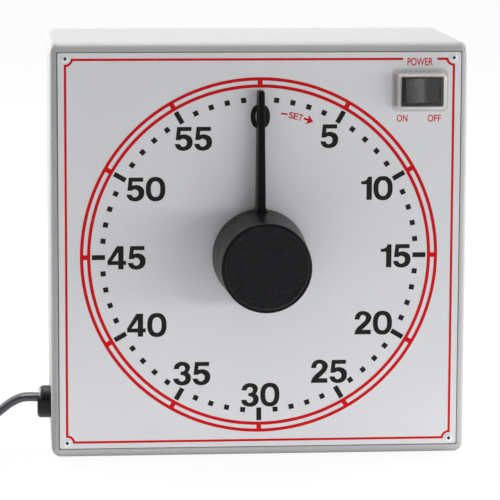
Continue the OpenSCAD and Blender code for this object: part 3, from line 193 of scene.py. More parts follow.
# Enamelled copper winding: round wires side by side, drawn 3.1 mm apart, coarser than the real ones, so that
# they show. Warm and glossy
def makeWinding():
    material = makeMaterial("enamelledCopper", "#B4662F", 0.3, 0.5, 0.004, metallic=1)
    tree = material.node_tree
    shader = tree.nodes["Principled BSDF"]
    where = addNode(tree, "TexCoord").outputs["Object"]
    rows = addNode(tree, "TexWave", {"Vector": where, "Scale": waveScale(3.1416)}, bands_direction="Y")
    bump = addNode(tree, "Bump", {"Height": rows.outputs["Fac"], "Strength": 1.0, "Distance": 0.12 * mm})
    tree.links.new(bump.outputs["Normal"], shader.inputs["Normal"])
    return material


# Silicone, moulded thin: clear face on, milky where it turns away from the eye, and it glows where light
# comes from behind. Light falls through it with little loss
def makeSilicone():
    material = makeMaterial("clearSilicone", "#E3E2E0", 0.2, 1.2, 0.006, mottle=0.02)
    tree = material.node_tree
    shader = tree.nodes["Principled BSDF"]
    behind = addNode(tree, "BsdfTranslucent", {"Color": toLinear("#F1EFEB")})
    clear = addNode(tree, "BsdfTransparent", {"Color": toLinear("#FCFBFB")})
    milky = addNode(tree, "MixShader", {0: 0.4, 1: shader.outputs[0], 2: behind.outputs[0]})
    slant = addNode(tree, "LayerWeight", {"Blend": 0.5}).outputs["Facing"]
    amount = addNode(tree, "MapRange", {"Value": slant, "From Min": 0.02, "From Max": 0.4,
                                        "To Min": 0.03, "To Max": 0.7}).outputs["Result"]
    shadowed = addNode(tree, "LightPath").outputs["Is Shadow Ray"]
    amount = addNode(tree, "Mix", {"Factor": shadowed, "A": amount, "B": 0.12}).outputs[0]
    body = addNode(tree, "MixShader", {0: amount, 1: clear.outputs[0], 2: milky.outputs[0]})
    tree.links.new(body.outputs[0], tree.nodes["Material Output"].inputs["Surface"])
    return material


# Woven nylon tape: its threads are drawn as soft ribs 3.8 mm apart both ways, coarser than the real ones, so
# that they show, and a fine grain lies over them
def makeTieTape():
    material = makeMaterial("wovenNylonTape", "#202124", 0.8, 0.5, 0.02, mottle=0.2)
    tree = material.node_tree
    shader = tree.nodes["Principled BSDF"]
    shader.inputs["Sheen Weight"].default_value = 0.3
    where = addNode(tree, "TexCoord").outputs["Object"]
    ribs = [addNode(tree, "TexWave", {"Vector": where, "Scale": waveScale(3.77)}, bands_direction=way)
            for way in ("X", "Y")]
    weave = addNode(tree, "Math", {i: rib.outputs["Fac"] for i, rib in enumerate(ribs)}, operation="MULTIPLY")
    bump = addNode(tree, "Bump", {"Height": weave.outputs[0], "Strength": 1.0, "Distance": 0.2 * mm})
    tree.links.new(bump.outputs["Normal"], shader.inputs["Normal"])
    return material


# Leather grain: rounded cells with sunken seams, darker where dust and shade settle in the seams. They
# are 1.2 mm wide, a little coarser than the real ones, so that they show
def addLeatherGrain(material, cell=1.2, depth=0.15):
    tree = material.node_tree
    shader = tree.nodes["Principled BSDF"]
    where = addNode(tree, "TexCoord").outputs["Object"]
    seams = addNode(tree, "TexVoronoi", {"Vector": where, "Scale": 1 / (cell * mm), "Randomness": 1.0},
                    feature="DISTANCE_TO_EDGE").outputs["Distance"]
    height = addNode(tree, "MapRange", {"Value": seams, "From Max": 0.3}).outputs["Result"]
    bump = addNode(tree, "Bump", {"Height": height, "Strength": 1.0, "Distance": depth * mm,
                                  "Normal": shader.inputs["Normal"].links[0].from_socket})
    tree.links.new(bump.outputs["Normal"], shader.inputs["Normal"])
    plain = shader.inputs["Base Color"].links[0].from_socket
    shaded = addNode(tree, "Mix", {"Factor": height, "A": toLinear("#07080A"), "B": plain}, data_type="RGBA")
    tree.links.new(shaded.outputs["Result"], shader.inputs["Base Color"])


# Moulded edges: light runs softly over small roundings and over the flats that a rounding is cut into
def softenEdges(material, radius):
    tree = material.node_tree
    bump = tree.nodes["Principled BSDF"].inputs["Normal"].links[0].from_node
    rounded = addNode(tree, "Bevel", {"Radius": radius * mm}, samples=6)
    tree.links.new(rounded.outputs["Normal"], bump.inputs["Normal"])


softenEdges(materials["mouldedPolystyrene"], 0.7)
addLeatherGrain(materials["grainedPhenolic"])
materials["enamelledCopper"] = makeWinding()
materials["clearSilicone"] = makeSilicone()
materials["wovenNylonTape"] = makeTieTape()

nodeFinishes = {
    "mouldedPolystyrene": ("housing", "rear_cover"),
    "satinLacqueredAluminium": ("front_panel",),
    "nickelPlatedSteel": ("panel_screws", "rear_cover_screws", "stud_nuts", "movement_screws", "motor_screws",
        "microswitch_screws", "buzzer_screws", "terminal_screws"),
    "footRubber": ("rubber_feet",),
    "polishedPhenolic": ("knob",),
    "turnedBrass": ("knob_insert", "shaft_bushing", "bushing_nut", "movement_pillars", "clutch_collar",
        "motor_pinion", "switch_terminals"),
    "blackOxideAndPaintedShade": ("knob_set_screw",),
    "groundSteel": ("dial_shaft", "stop_post", "intermediate_pin", "buzzer_core"),
    "zincPlatedSteel": ("panel_studs", "movement_front_plate", "movement_rear_plate", "stop_arm",
        "buzzer_frame", "buzzer_armature"),
    "stampedBrass": ("dial_wheel", "intermediate_wheel"),
    "springSteel": ("clutch_spring", "shaft_retaining_ring", "microswitch_lever"),
    "drawnMotorCan": ("motor_case",),
    "naturalNylon": ("switch_cam", "buzzer_bobbin", "terminal_block"),
    "switchNylon": ("microswitch", "switch_body"),
    "redAcetal": ("microswitch_plunger",),
    "rockerNylon": ("rocker",),
    "clearSilicone": ("splash_boot",),
    "enamelledCopper": ("buzzer_winding",),
    "blackLead": ("mains_leads", "switch_leads"),
    "blueLead": ("motor_leads",),
    "redLead": ("alarm_leads",),
    "reliefNylon": ("strain_relief_body", "strain_relief_wedge"),
    "cordVinyl": ("power_cord", "cord_coil", "cord_tail"),
    "wovenNylonTape": ("cord_tie",),
    "plugVinyl": ("plug_body",),
    "platedBlade": ("plug_blades",),
}
for finishName, nodeNames in nodeFinishes.items():
    for nodeName in nodeNames:
        node = nodes[nodeName]
        if not node.material_slots:
            node.data.materials.append(materials[finishName])
        for slot in node.material_slots:
            slot.material = materials[finishName]
print("CAD nodes finished:", sum(len(names) for names in nodeFinishes.values()))


# Meshes. A surface is its points in mm and its faces
def addPiece(name, surface, finish, replaced=(), body="case", sharpAngle=35):
    points, faces = surface
    mesh = bpy.data.meshes.new(name)
    mesh.from_pydata((np.asarray(points) * mm).tolist(), [], faces)
    shape = bmesh.new()
    shape.from_mesh(mesh)
    bmesh.ops.remove_doubles(shape, verts=shape.verts, dist=1e-7)
    bmesh.ops.recalc_face_normals(shape, faces=shape.faces)
    shape.to_mesh(mesh)
    shape.free()
    mesh.shade_smooth()
    mesh.set_sharp_from_angle(angle=math.radians(sharpAngle))
    mesh.materials.append(materials[finish])
    piece = bpy.data.objects.new(name, mesh)
    bpy.context.scene.collection.objects.link(piece)
    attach(piece, body)
    if replaced:
        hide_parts(*replaced)
    return piece


# Three coordinates, each a number or an array, become points
def pointsOf(x, y, z):
    return np.stack(np.broadcast_arrays(x, y, z), -1)


# Rows of equal rings become a closed tube: quads join each point to the next round its ring and the next
# along, and each end is a single face
def closedTube(rings):
    rows, columns = rings.shape[:2]
    r, c = np.meshgrid(np.arange(rows - 1) * columns, np.arange(columns), indexing="ij")
    nextC = (c + 1) % columns
    quads = np.stack([r + c, r + nextC, r + columns + nextC, r + columns + c], -1).reshape(-1, 4)
    ends = [list(range(columns))[::-1], list(range((rows - 1) * columns, rows * columns))]
    return rings.reshape(-1, 3), quads.tolist() + ends


# Several surfaces as one
def joined(surfaces):
    points = [surface[0] for surface in surfaces]
    starts = np.cumsum([0] + [len(part) for part in points]).tolist()
    faces = [[i + start for i in face] for start, surface in zip(starts, surfaces) for face in surface[1]]
    return np.concatenate(points), faces


# Smooth curve through points: each stretch is a cubic with the slope of its neighbours
def smoothRun(points, steps):
    p = np.asarray(points, float)
    ends = np.concatenate([[2 * p[0] - p[1]], p, [2 * p[-1] - p[-2]]])
    t = np.linspace(0, 1, steps, endpoint=False)[:, None, None]
    a, b, c, d = ends[:-3], ends[1:-2], ends[2:-1], ends[3:]
    square = (2 * a - 5 * b + 4 * c - d) * t ** 2
    cube = (3 * b - a - 3 * c + d) * t ** 3
    curve = 0.5 * (2 * b + (c - a) * t + square + cube)
    return np.concatenate([curve.transpose(1, 0, 2).reshape(-1, p.shape[1]), p[-1:]])


# From 0 to 1 with a level start and end: three squares less two cubes
def ease(value):
    u = np.clip(value, 0, 1)
    return u * u * (3 - 2 * u)


# Each vector over its own length
def unit(vectors):
    return vectors / np.linalg.norm(vectors, axis=1)[:, None]


# Angles round a full circle, evenly apart
def fullTurn(steps):
    return np.linspace(0, 2 * np.pi, steps, endpoint=False)


# A sine or cosine squared off: the smaller the power, the squarer the figure that it draws
def squaredOff(wave, power):
    return np.sign(wave) * np.abs(wave) ** power


# A piece's faces get the material of the given number where the test of their middles, in mm, holds
def paintFaces(piece, number, test):
    middles = np.empty(len(piece.data.polygons) * 3)
    piece.data.polygons.foreach_get("center", middles)
    numbers = np.empty(len(piece.data.polygons), dtype=np.int32)
    piece.data.polygons.foreach_get("material_index", numbers)
    numbers[test(middles.reshape(-1, 3) / mm)] = number
    piece.data.polygons.foreach_set("material_index", numbers)


# Edges sharper than the given angle are rounded
def roundEdges(piece, width, angle=30):
    softEdge = piece.modifiers.new("softEdge", "BEVEL")
    softEdge.width = width * mm
    softEdge.segments = 3
    softEdge.limit_method = "ANGLE"
    softEdge.angle_limit = math.radians(angle)


# Cord. The same route as the CAD cord: out of the case, down to the coil, round it, and out to the plug
cordSpec = {
    "y": -4, "width": 7.6, "thick": 4.0, "exit": (-103.4, -4, 26.2),
    "upper": 12.8, "lower": 4.4, "coilX": -183, "coilRadius": 48.5, "pitch": 4.9, "turns": 6.75,
    "stepsPerTurn": 96, "dropTurns": 0.5, "straight": 8, "standFrom": -140, "standOver": 27, "layFrom": 30,
    "square": (0.75, 0.7), "groove": 0.2, "grooveHalf": 0.9,
    "stretch": [(-82, 26.2), (-90, 26.2), (-98, 26.2), (-103.4, 26.2), (-107.4, 26.3), (-110.6, 26),
        (-113.6, 24.9), (-116.4, 23.3), (-119, 21.4), (-121.6, 19.3), (-124.4, 17.2), (-127.4, 15.4),
        (-131, 14), (-135.4, 13.1), (-140, 12.8), (-146, 12.8), (-152, 12.8), (-158, 12.8), (-163, 12.8),
        (-167, 12.8), (-175, 12.8)],
    "tail": [(36.5, 4.4), (30, 4.4), (24, 4.4), (18, 4.1), (12, 3.6), (6, 3.3), (0, 3.9), (-6, 5.1),
        (-11, 6.4), (-16, 7), (-20, 7)],
}


# The coil is a spiral in, a drop of one layer while it reverses, and a spiral out
def cordRoute(spec):
    coilY = spec["y"] + spec["coilRadius"]
    tailX = spec["coilX"] + spec["coilRadius"]
    start = smoothRun(spec["stretch"], 3)
    start = pointsOf(start[:, 0], spec["y"], start[:, 1])
    startEdge = ease((spec["standFrom"] - start[:, 0]) / spec["standOver"])
    t = np.linspace(0, spec["turns"], int(spec["turns"] * spec["stepsPerTurn"]) + 1)
    half = spec["turns"] / 2
    radius = spec["coilRadius"] - spec["pitch"] * np.minimum(t, spec["turns"] - t)
    angle = np.radians(-90 - 360 * t)
    drop = ease((t - half) / spec["dropTurns"] + 0.5)
    height = spec["upper"] + (spec["lower"] - spec["upper"]) * drop
    coil = pointsOf(spec["coilX"] + radius * np.cos(angle), coilY + radius * np.sin(angle), height)
    before = [[spec["coilX"] + spec["straight"] / 2, spec["y"], spec["upper"]]]
    after = [[tailX, coilY - spec["straight"] / 2, spec["lower"]]]
    tail = smoothRun(spec["tail"], 3)
    tail = pointsOf(tailX, tail[:, 0], tail[:, 1])
    tailEdge = 1 - ease((spec["layFrom"] - tail[:, 1]) / spec["layFrom"])
    route = np.concatenate([start, before, coil, after, tail])
    edge = np.concatenate([startEdge, np.ones(len(coil) + 2), tailEdge])
    return route, edge


# Each ring is a flat figure of two cores: a rounded oblong with a shallow groove down the middle of both
# faces. It lies across the route and turns from flat to standing on edge
def cordRings(route, edge, spec):
    tangent = unit(np.gradient(route, axis=0))
    side = unit(np.cross([0, 0, 1], tangent))
    up = np.cross(tangent, side)
    lean = np.radians(90 * edge)[:, None]
    wide = np.cos(lean) * side + np.sin(lean) * up
    thin = np.cross(tangent, wide)
    a = fullTurn(28)
    u = squaredOff(np.cos(a), spec["square"][0]) * spec["width"] / 2
    v = squaredOff(np.sin(a), spec["square"][1]) * spec["thick"] / 2
    v = v * (1 - spec["groove"] * np.exp(-(u / spec["grooveHalf"]) ** 2))
    return route[:, None] + wide[:, None] * u[None, :, None] + thin[:, None] * v[None, :, None]


cordPath, cordEdge = cordRoute(cordSpec)
cordTube = closedTube(cordRings(cordPath, cordEdge, cordSpec))
flatCord = addPiece("flatCord", cordTube, "cordVinyl",
                    replaced=("power_cord", "cord_coil", "cord_tail"), sharpAngle=80)

# Tie: a woven tape round all the turns, its free end lapped over on top
tieSpec = {"width": 6, "thick": 0.4, "y": 44.5, "low": 0.5, "high": 16.7, "room": 0.5, "square": 0.45,
           "startAngle": 60, "lapAngle": 32, "liftAngle": 352, "liftOver": 6, "lift": 0.98, "edgeThin": 0.5}


# The band follows a rounded oblong round the bundle, a little proud where its end laps over. It thins
# toward both its edges with the sixth power of the way out
def tieBand(spec, cord):
    inner = cord["coilRadius"] - cord["pitch"] * cord["turns"] / 2 - cord["thick"] / 2 - spec["room"]
    outer = cord["coilRadius"] + cord["thick"] / 2 + spec["room"]
    middle = np.array([cord["coilX"] - (inner + outer) / 2, (spec["low"] + spec["high"]) / 2])
    halfW = (outer - inner) / 2 + spec["thick"] / 2
    halfH = (spec["high"] - spec["low"]) / 2 + spec["thick"] / 2
    swept = np.linspace(0, 360 + spec["lapAngle"], 120)
    a = np.radians(spec["startAngle"] + swept)
    x = squaredOff(np.cos(a), spec["square"]) * halfW
    z = squaredOff(np.sin(a), spec["square"]) * halfH
    lift = spec["thick"] * spec["lift"] * ease((swept - spec["liftAngle"]) / spec["liftOver"])
    line = np.stack([x, z], 1)
    out = np.gradient(line, axis=0)
    out = unit(np.stack([out[:, 1], -out[:, 0]], 1))
    line = line + out * lift[:, None] + middle
    across = np.linspace(-1, 1, 7)
    selvedge = 1 - spec["edgeThin"] * np.abs(across) ** 6
    y = spec["y"] + across * spec["width"] / 2
    rings = []
    for sign in (1, -1):
        at = line[:, None] + out[:, None] * (sign * spec["thick"] / 2 * selvedge)[None, :, None]
        rings.append(pointsOf(at[..., 0], y, at[..., 1])[:, ::sign])
    return np.concatenate(rings, 1)


tie = addPiece("coilTie", closedTube(tieBand(tieSpec, cordSpec)), "wovenNylonTape",
               replaced=("cord_tie",))

# Plug: a moulded two-blade body that narrows into a ribbed neck where the cord goes in
plugSpec = {"x": -134.5, "z": 7, "front": -50, "back": -20, "width": 24, "thick": 14, "neck": 11.6,
            "neckThick": 9.2, "groove": 0.5, "groovePitch": 0.075, "grooves": (0.04, 0.265), "square": 0.5,
            "swellWide": (0.12, 0.42), "swellThick": (0.05, 0.4), "backEdge": (0.02, 0.8),
            "frontEdge": (0.03, 0.9)}


# The body is a loft of rounded oblongs: half width and half thickness swell from the neck, where s is 0, to
# the face, where it is 1. A sine's upper halves cut three grooves round the neck, and both ends are bevelled
def plugRings(spec):
    wideFrom, wideOver = spec["swellWide"]
    thickFrom, thickOver = spec["swellThick"]
    backOver, backCut = spec["backEdge"]
    frontOver, frontCut = spec["frontEdge"]
    first, last = spec["grooves"]
    s = np.concatenate([[0, 0.004], np.linspace(backOver, 1 - frontOver, 60), [0.992, 1]])
    wide = spec["neck"] + (spec["width"] - spec["neck"]) * ease((s - wideFrom) / wideOver)
    thick = spec["neckThick"] + (spec["thick"] - spec["neckThick"]) * ease((s - thickFrom) / thickOver)
    wave = np.sin((s - first) * 2 * np.pi / spec["groovePitch"])
    groove = spec["groove"] * np.clip(wave, 0, 1) * (s > first) * (s < last)
    edge = backCut * np.clip(1 - s / backOver, 0, 1) + frontCut * np.clip(1 - (1 - s) / frontOver, 0, 1)
    halfW = wide / 2 - groove - edge
    halfT = thick / 2 - groove - edge
    a = fullTurn(40)
    x = squaredOff(np.cos(a), spec["square"])
    z = squaredOff(np.sin(a), spec["square"])
    y = spec["back"] + (spec["front"] - spec["back"]) * s
    return pointsOf(spec["x"] + halfW[:, None] * x, y[:, None], spec["z"] + halfT[:, None] * z)


plug = addPiece("plugMoulding", closedTube(plugRings(plugSpec)), "plugVinyl",
                replaced=("plug_body",))

# Knob: a tapered drum with a rounded edge, a lip and a dished face
knobSpec = {"base": 22.3, "face": 20.6, "baseY": -28.65, "faceY": -66.05, "edge": 1.0, "lip": 1.5,
            "dish": 0.55, "bevel": 0.5, "recess": 9.4, "recessDepth": 7, "foot": (0.4, 0.15)}


# A profile of radius and y is carried round the dial's axis
def revolve(profile):
    a = fullTurn(160)
    r, y = profile.T[:, :, None]
    return pointsOf(dial["x"] + r * np.cos(a), y, dial["z"] + r * np.sin(a))


# Points on a circle from one angle to another, in degrees
def arcRun(centre, radius, start, end, steps):
    a = np.radians(np.linspace(start, end, steps + 1))
    return np.stack([centre[0] + radius * np.cos(a), centre[1] + radius * np.sin(a)], 1)


# The profile runs from the recess behind the drum, up its side, over the lip and down to the sunken face
def knobDrum(spec):
    lipInner = spec["face"] - spec["lip"]
    floorY = spec["faceY"] + spec["dish"]
    back = [[spec["recess"], spec["baseY"] - spec["recessDepth"]], [spec["recess"], spec["baseY"]],
            [spec["base"] - spec["foot"][0], spec["baseY"]]]
    side = np.linspace([spec["base"] - spec["foot"][1], spec["baseY"]],
                       [spec["face"], spec["faceY"] + spec["edge"]], 40)
    edge = arcRun((spec["face"] - spec["edge"], spec["faceY"] + spec["edge"]), spec["edge"], 0, -90, 10)
    bevel = np.linspace([lipInner, spec["faceY"]], [lipInner - spec["bevel"], floorY], 4)
    flat = np.stack([np.linspace(lipInner - spec["bevel"] - 0.1, 0.5, 20), np.full(20, floorY)], 1)
    return closedTube(revolve(np.concatenate([back, side, edge[1:], bevel, flat])))


drum = addPiece("knobDrum", knobDrum(knobSpec), "polishedPhenolic", replaced=("knob",),
                body="knob_and_shaft")
drum.data.materials.append(materials["grainedPhenolic"])
drum.data.materials.append(materials["highlightBevelPhenolic"])


# The sunken face and the bevel round it: less than the given radius off the axis, and near the front
def onKnobFace(middles, radius):
    offAxis = np.hypot(middles[:, 0] - dial["x"], middles[:, 2] - dial["z"])
    return (middles[:, 1] < knobSpec["faceY"] + knobSpec["dish"] + 0.1) & (offAxis < radius)


lipInner = knobSpec["face"] - knobSpec["lip"]
# The bevel ring gets the lighter phenolic, a painted highlight, and the face inside it gets the grain
paintFaces(drum, 2, lambda middles: onKnobFace(middles, lipInner))
paintFaces(drum, 1, lambda middles: onKnobFace(middles, lipInner - knobSpec["bevel"]))

# Pointer: a low wing that tapers to a rounded tip and runs into the drum in a fillet on each side
pointerSpec = {"backY": -28.65, "from": 18, "drum": 21.7, "to": 77.4, "rootHeight": 10.6, "tipHeight": 7.5,
               "rootWidth": 3.7, "tipWidth": 2.8, "draft": 3, "edge": 0.45, "backEdge": 0.2, "fillet": 2.7,
               "tipRound": 1.15, "noseRound": 0.9, "noseDrop": 0.5, "straight": (26, 75.5)}


# How much a quarter round of the given radius has left at a distance from where it starts
def quarterLeft(distance, radius):
    u = np.clip(1 - distance / radius, 0, 1)
    return radius * (1 - np.sqrt(1 - u * u))


# At each distance from the axis the wing is a trapezium with rounded corners. Half width and height fall
# evenly to the tip and a quarter round takes from both there. Each fillet is an arc that touches the
# wing's side and the round drum: its centre is one fillet radius off both
def pointerRings(spec):
    f = spec["fillet"]
    side = spec["rootWidth"] / 2
    centre = math.sqrt((spec["drum"] + f) ** 2 - (side + f) ** 2)
    touch = centre * spec["drum"] / (spec["drum"] + f)
    tip = spec["to"] - spec["tipRound"] * (1 - np.sin(np.linspace(0, np.pi / 2, 10)))
    fillet = np.linspace(touch, centre, 14)
    r = np.concatenate([[spec["from"]], fillet, np.linspace(*spec["straight"], 24), tip])
    share = (r - spec["drum"]) / (spec["to"] - spec["drum"])
    half = side + (spec["tipWidth"] - spec["rootWidth"]) / 2 * share
    inFillet = np.clip(centre - np.maximum(r, touch), 0, None)
    half = half + f - np.sqrt(f * f - inFillet ** 2) - quarterLeft(spec["to"] - r, spec["tipRound"])
    height = spec["rootHeight"] + (spec["tipHeight"] - spec["rootHeight"]) * share
    height = height - spec["noseDrop"] * quarterLeft(spec["to"] - r, spec["noseRound"])
    frontY = dial["y"] - height
    backHalf = half + (spec["backY"] - frontY) * math.tan(math.radians(spec["draft"]))
    corners = []
    for signX, front, start in ((1, True, -90), (1, False, 0), (-1, False, 90), (-1, True, 180)):
        wide = half if front else backHalf
        radius = spec["edge"] if front else spec["backEdge"]
        a = np.radians(start + np.linspace(0, 90, 7))
        centreX = signX * (wide - radius)[:, None]
        centreY = frontY[:, None] + radius if front else spec["backY"] - radius
        corners.append(pointsOf(dial["x"] + centreX + radius * np.cos(a), centreY + radius * np.sin(a),
                                dial["z"] + r[:, None]))
    return np.concatenate(corners, 1)


addPiece("knobPointer", closedTube(pointerRings(pointerSpec)), "polishedPhenolic",
         replaced=("knob",), body="knob_and_shaft")
print("knob made")

# Printing. Flat outlines are filled, holes left open, and made thin closed films of ink on the panel
inkSpec = {"thick": 0.045, "sunk": 0.015}


# Outlines in mm on the dial, seen from the front, become points and faces of a film
def inkFilm(outlines):
    curve = bpy.data.curves.new("film", "CURVE")
    curve.dimensions = "2D"
    curve.fill_mode = "BOTH"
    curve.extrude = inkSpec["thick"] / 2
    for outline in outlines:
        line = curve.splines.new("POLY")
        line.points.add(len(outline) - 1)
        flat = np.zeros((len(outline), 4))
        flat[:, :2] = outline
        flat[:, 3] = 1
        line.points.foreach_set("co", flat.ravel())
        line.use_cyclic_u = True
    return filmFromCurve(curve)


# A filled curve's own mesh, as points and faces
def filmFromCurve(curve):
    holder = bpy.data.objects.new("film", curve)
    bpy.context.scene.collection.objects.link(holder)
    graph = bpy.context.evaluated_depsgraph_get()
    made = bpy.data.meshes.new_from_object(holder.evaluated_get(graph))
    points = np.empty(len(made.vertices) * 3)
    made.vertices.foreach_get("co", points)
    faces = [list(face.vertices) for face in made.polygons]
    bpy.data.objects.remove(holder)
    return points.reshape(-1, 3), faces


# Films are laid on the panel's face: across is X, up is Z, and the thickness is along Y
def addPrint(name, films, finish):
    flat, faces = joined(films)
    depth = dial["y"] + inkSpec["sunk"] - inkSpec["thick"] / 2 - flat[:, 2]
    laid = pointsOf(dial["x"] + flat[:, 0], depth, dial["z"] + flat[:, 1])
    return addPiece(name, (laid, faces), finish)


# An outline turned clockwise about its own middle and moved to its place
def turned(outline, clockwise, at):
    a = math.radians(clockwise)
    spin = np.array([[math.cos(a), -math.sin(a)], [math.sin(a), math.cos(a)]])
    return np.asarray(outline, float) @ spin + np.asarray(at, float)


# Two red rings joined by a bar at every five minutes: one disc with the windows cut out of it. The rings
# and the ticks are printed a hair off the dial's middle
ringSpec = {"outer": 82.55, "outerWidth": 1.55, "inner": 79.25, "innerWidth": 1.55, "bar": 2.3}
printShift = (-0.14, -0.14)


# A bar's side lies half its width off a line through the middle, which is an arc sine on each circle
def ringOutlines(spec):
    outerHalf = spec["outerWidth"] / 2
    innerHalf = spec["innerWidth"] / 2
    outerHole = spec["outer"] - outerHalf
    innerEdge = spec["inner"] + innerHalf
    gapOut = math.degrees(math.asin(spec["bar"] / 2 / outerHole))
    gapIn = math.degrees(math.asin(spec["bar"] / 2 / innerEdge))
    outlines = [arcRun((0, 0), spec["outer"] + outerHalf, 0, 360, 240)[:-1],
                arcRun((0, 0), spec["inner"] - innerHalf, 0, 360, 240)[:-1]]
    for start in range(0, 360, 30):
        outlines.append(np.concatenate([
            arcRun((0, 0), outerHole, start + gapOut, start + 30 - gapOut, 24),
            arcRun((0, 0), innerEdge, start + gapIn, start + 30 - gapIn, 24)[::-1]]))
    return [outline + printShift for outline in outlines]


# Red border: a line round the panel, notched round each corner screw and open where POWER stands
borderSpec = {"right": 89.8, "top": 91.4, "bottom": -87.4, "width": 1.1, "screwTop": 91.9,
              "screwBottom": -87.7, "notch": 3.2, "gapFrom": 66.1, "gapTo": 82.0}


# A line's outline is its middle moved half the width to each side, along the mean of its two normals
def strokeOutline(middle, width):
    m = np.asarray(middle, float)
    way = unit(np.diff(m, axis=0))
    normal = np.stack([-way[:, 1], way[:, 0]], 1)
    before = np.concatenate([normal[:1], normal])
    after = np.concatenate([normal, normal[-1:]])
    mean = unit(before + after)
    offset = mean * (width / 2 / (mean * after).sum(1))[:, None]
    return np.concatenate([m + offset, (m - offset)[::-1]])


# A notch ends where its circle crosses the line, at the arc sine of the screw's offset over its radius
def borderOutline(spec):
    leanTop = math.degrees(math.asin((spec["screwTop"] - spec["top"]) / spec["notch"]))
    leanLow = math.degrees(math.asin((spec["bottom"] - spec["screwBottom"]) / spec["notch"]))
    line = [[(spec["gapTo"], spec["top"])],
            arcRun((spec["right"], spec["screwTop"]), spec["notch"], 180 + leanTop, 270, 12),
            arcRun((spec["right"], spec["screwBottom"]), spec["notch"], 90, 180 - leanLow, 12),
            arcRun((-spec["right"], spec["screwBottom"]), spec["notch"], leanLow, 90, 12),
            arcRun((-spec["right"], spec["screwTop"]), spec["notch"], 270, 360 - leanTop, 12),
            [(spec["gapFrom"], spec["top"])]]
    return strokeOutline(np.concatenate(line), spec["width"])


redFilms = [inkFilm(ringOutlines(ringSpec)), inkFilm([borderOutline(borderSpec)])]

# Small words: the text, its middle and its size. SET stands on a circle with a dash before it and an arrow
# after it, at angles clockwise from the top
wordSpec = {"words": (("POWER", (74.05, 90.1), 11.9, 3.6), ("ON", (65.9, 63.9), 5.0, 3.3),
                      ("OFF", (80.9, 63.85), 6.2, 3.3)),
            "setRadius": 67.1, "setLetters": (("S", 12.3), ("E", 14.25), ("T", 16.15)),
            "setSize": (2.15, 3.0), "drawnAt": 10, "bolder": 0.16, "dashAt": 9.5, "dash": (3.0, 0.75),
            "arrowFrom": 17.45, "arrowTo": 21.5, "arrowHead": 2.6, "arrowBarb": 3.2, "arrowWide": 4.9,
            "arrowStroke": 0.95}


# The built-in plain letters, made a little bolder and narrowed to their place on the panel
def wordFilm(text, centre, width, height, clockwise=0):
    letters = bpy.data.curves.new("word", "FONT")
    letters.body = text
    letters.size = wordSpec["drawnAt"]
    letters.offset = wordSpec["bolder"]
    letters.extrude = inkSpec["thick"] / 2
    letters.resolution_u = 6
    points, faces = filmFromCurve(letters)
    low = points.min(0)
    span = points.max(0) - low
    flat = (points[:, :2] - low[:2]) / span[:2] * (width, height) - (width / 2, height / 2)
    placed = turned(flat, clockwise, centre)
    return np.concatenate([placed, points[:, 2:]], 1), faces


# A place on a circle round the dial, clockwise from the top
def onRadius(radius, clockwise):
    a = math.radians(clockwise)
    return radius * math.sin(a), radius * math.cos(a)


redFilms += [wordFilm(*word) for word in wordSpec["words"]]
for letter, angle in wordSpec["setLetters"]:
    redFilms.append(wordFilm(letter, onRadius(wordSpec["setRadius"], angle), *wordSpec["setSize"], angle))


# A bar about its own middle
def barOutline(length, width):
    x = length / 2
    y = width / 2
    return [(-x, -y), (x, -y), (x, y), (-x, y)]


dashPlace = onRadius(wordSpec["setRadius"], wordSpec["dashAt"])
redFilms.append(inkFilm([turned(barOutline(*wordSpec["dash"]), wordSpec["dashAt"], dashPlace)]))


# The arrow lies along +x from its tail to its point, with the barbs swept back a little
def arrowOutline(spec):
    tip = math.radians(spec["arrowTo"] - spec["arrowFrom"]) * spec["setRadius"] / 2
    stroke = spec["arrowStroke"] / 2
    neck = tip - spec["arrowHead"]
    barb = tip - spec["arrowBarb"]
    return [(-tip, -stroke), (neck, -stroke), (barb, -spec["arrowWide"] / 2), (tip, 0),
            (barb, spec["arrowWide"] / 2), (neck, stroke), (-tip, stroke)]


arrowAngle = (wordSpec["arrowFrom"] + wordSpec["arrowTo"]) / 2
arrowPlace = onRadius(wordSpec["setRadius"], arrowAngle)
redFilms.append(inkFilm([turned(arrowOutline(wordSpec), arrowAngle, arrowPlace)]))
addPrint("redPrint", redFilms, "redScreenInk")

# Numerals, drawn in mm from each digit's lower left corner. Round digits are a little taller than the rest
digitWidths = {"0": 8.9, "1": 5.0, "2": 7.95, "3": 8.25, "4": 8.55, "5": 8.2}


# The rounded oblong of a nought: an ellipse squared off a little
def oblong(centre, halfWidth, halfHeight, power=0.84):
    a = fullTurn(72)
    x = squaredOff(np.cos(a), power) * halfWidth
    y = squaredOff(np.sin(a), power) * halfHeight
    return np.stack([centre[0] + x, centre[1] + y], 1)


# Runs of one or two points are corners, longer ones are smooth curves
def outlineOf(*runs):
    return np.concatenate([np.asarray(run, float) if len(run) < 3 else smoothRun(run, 6) for run in runs])


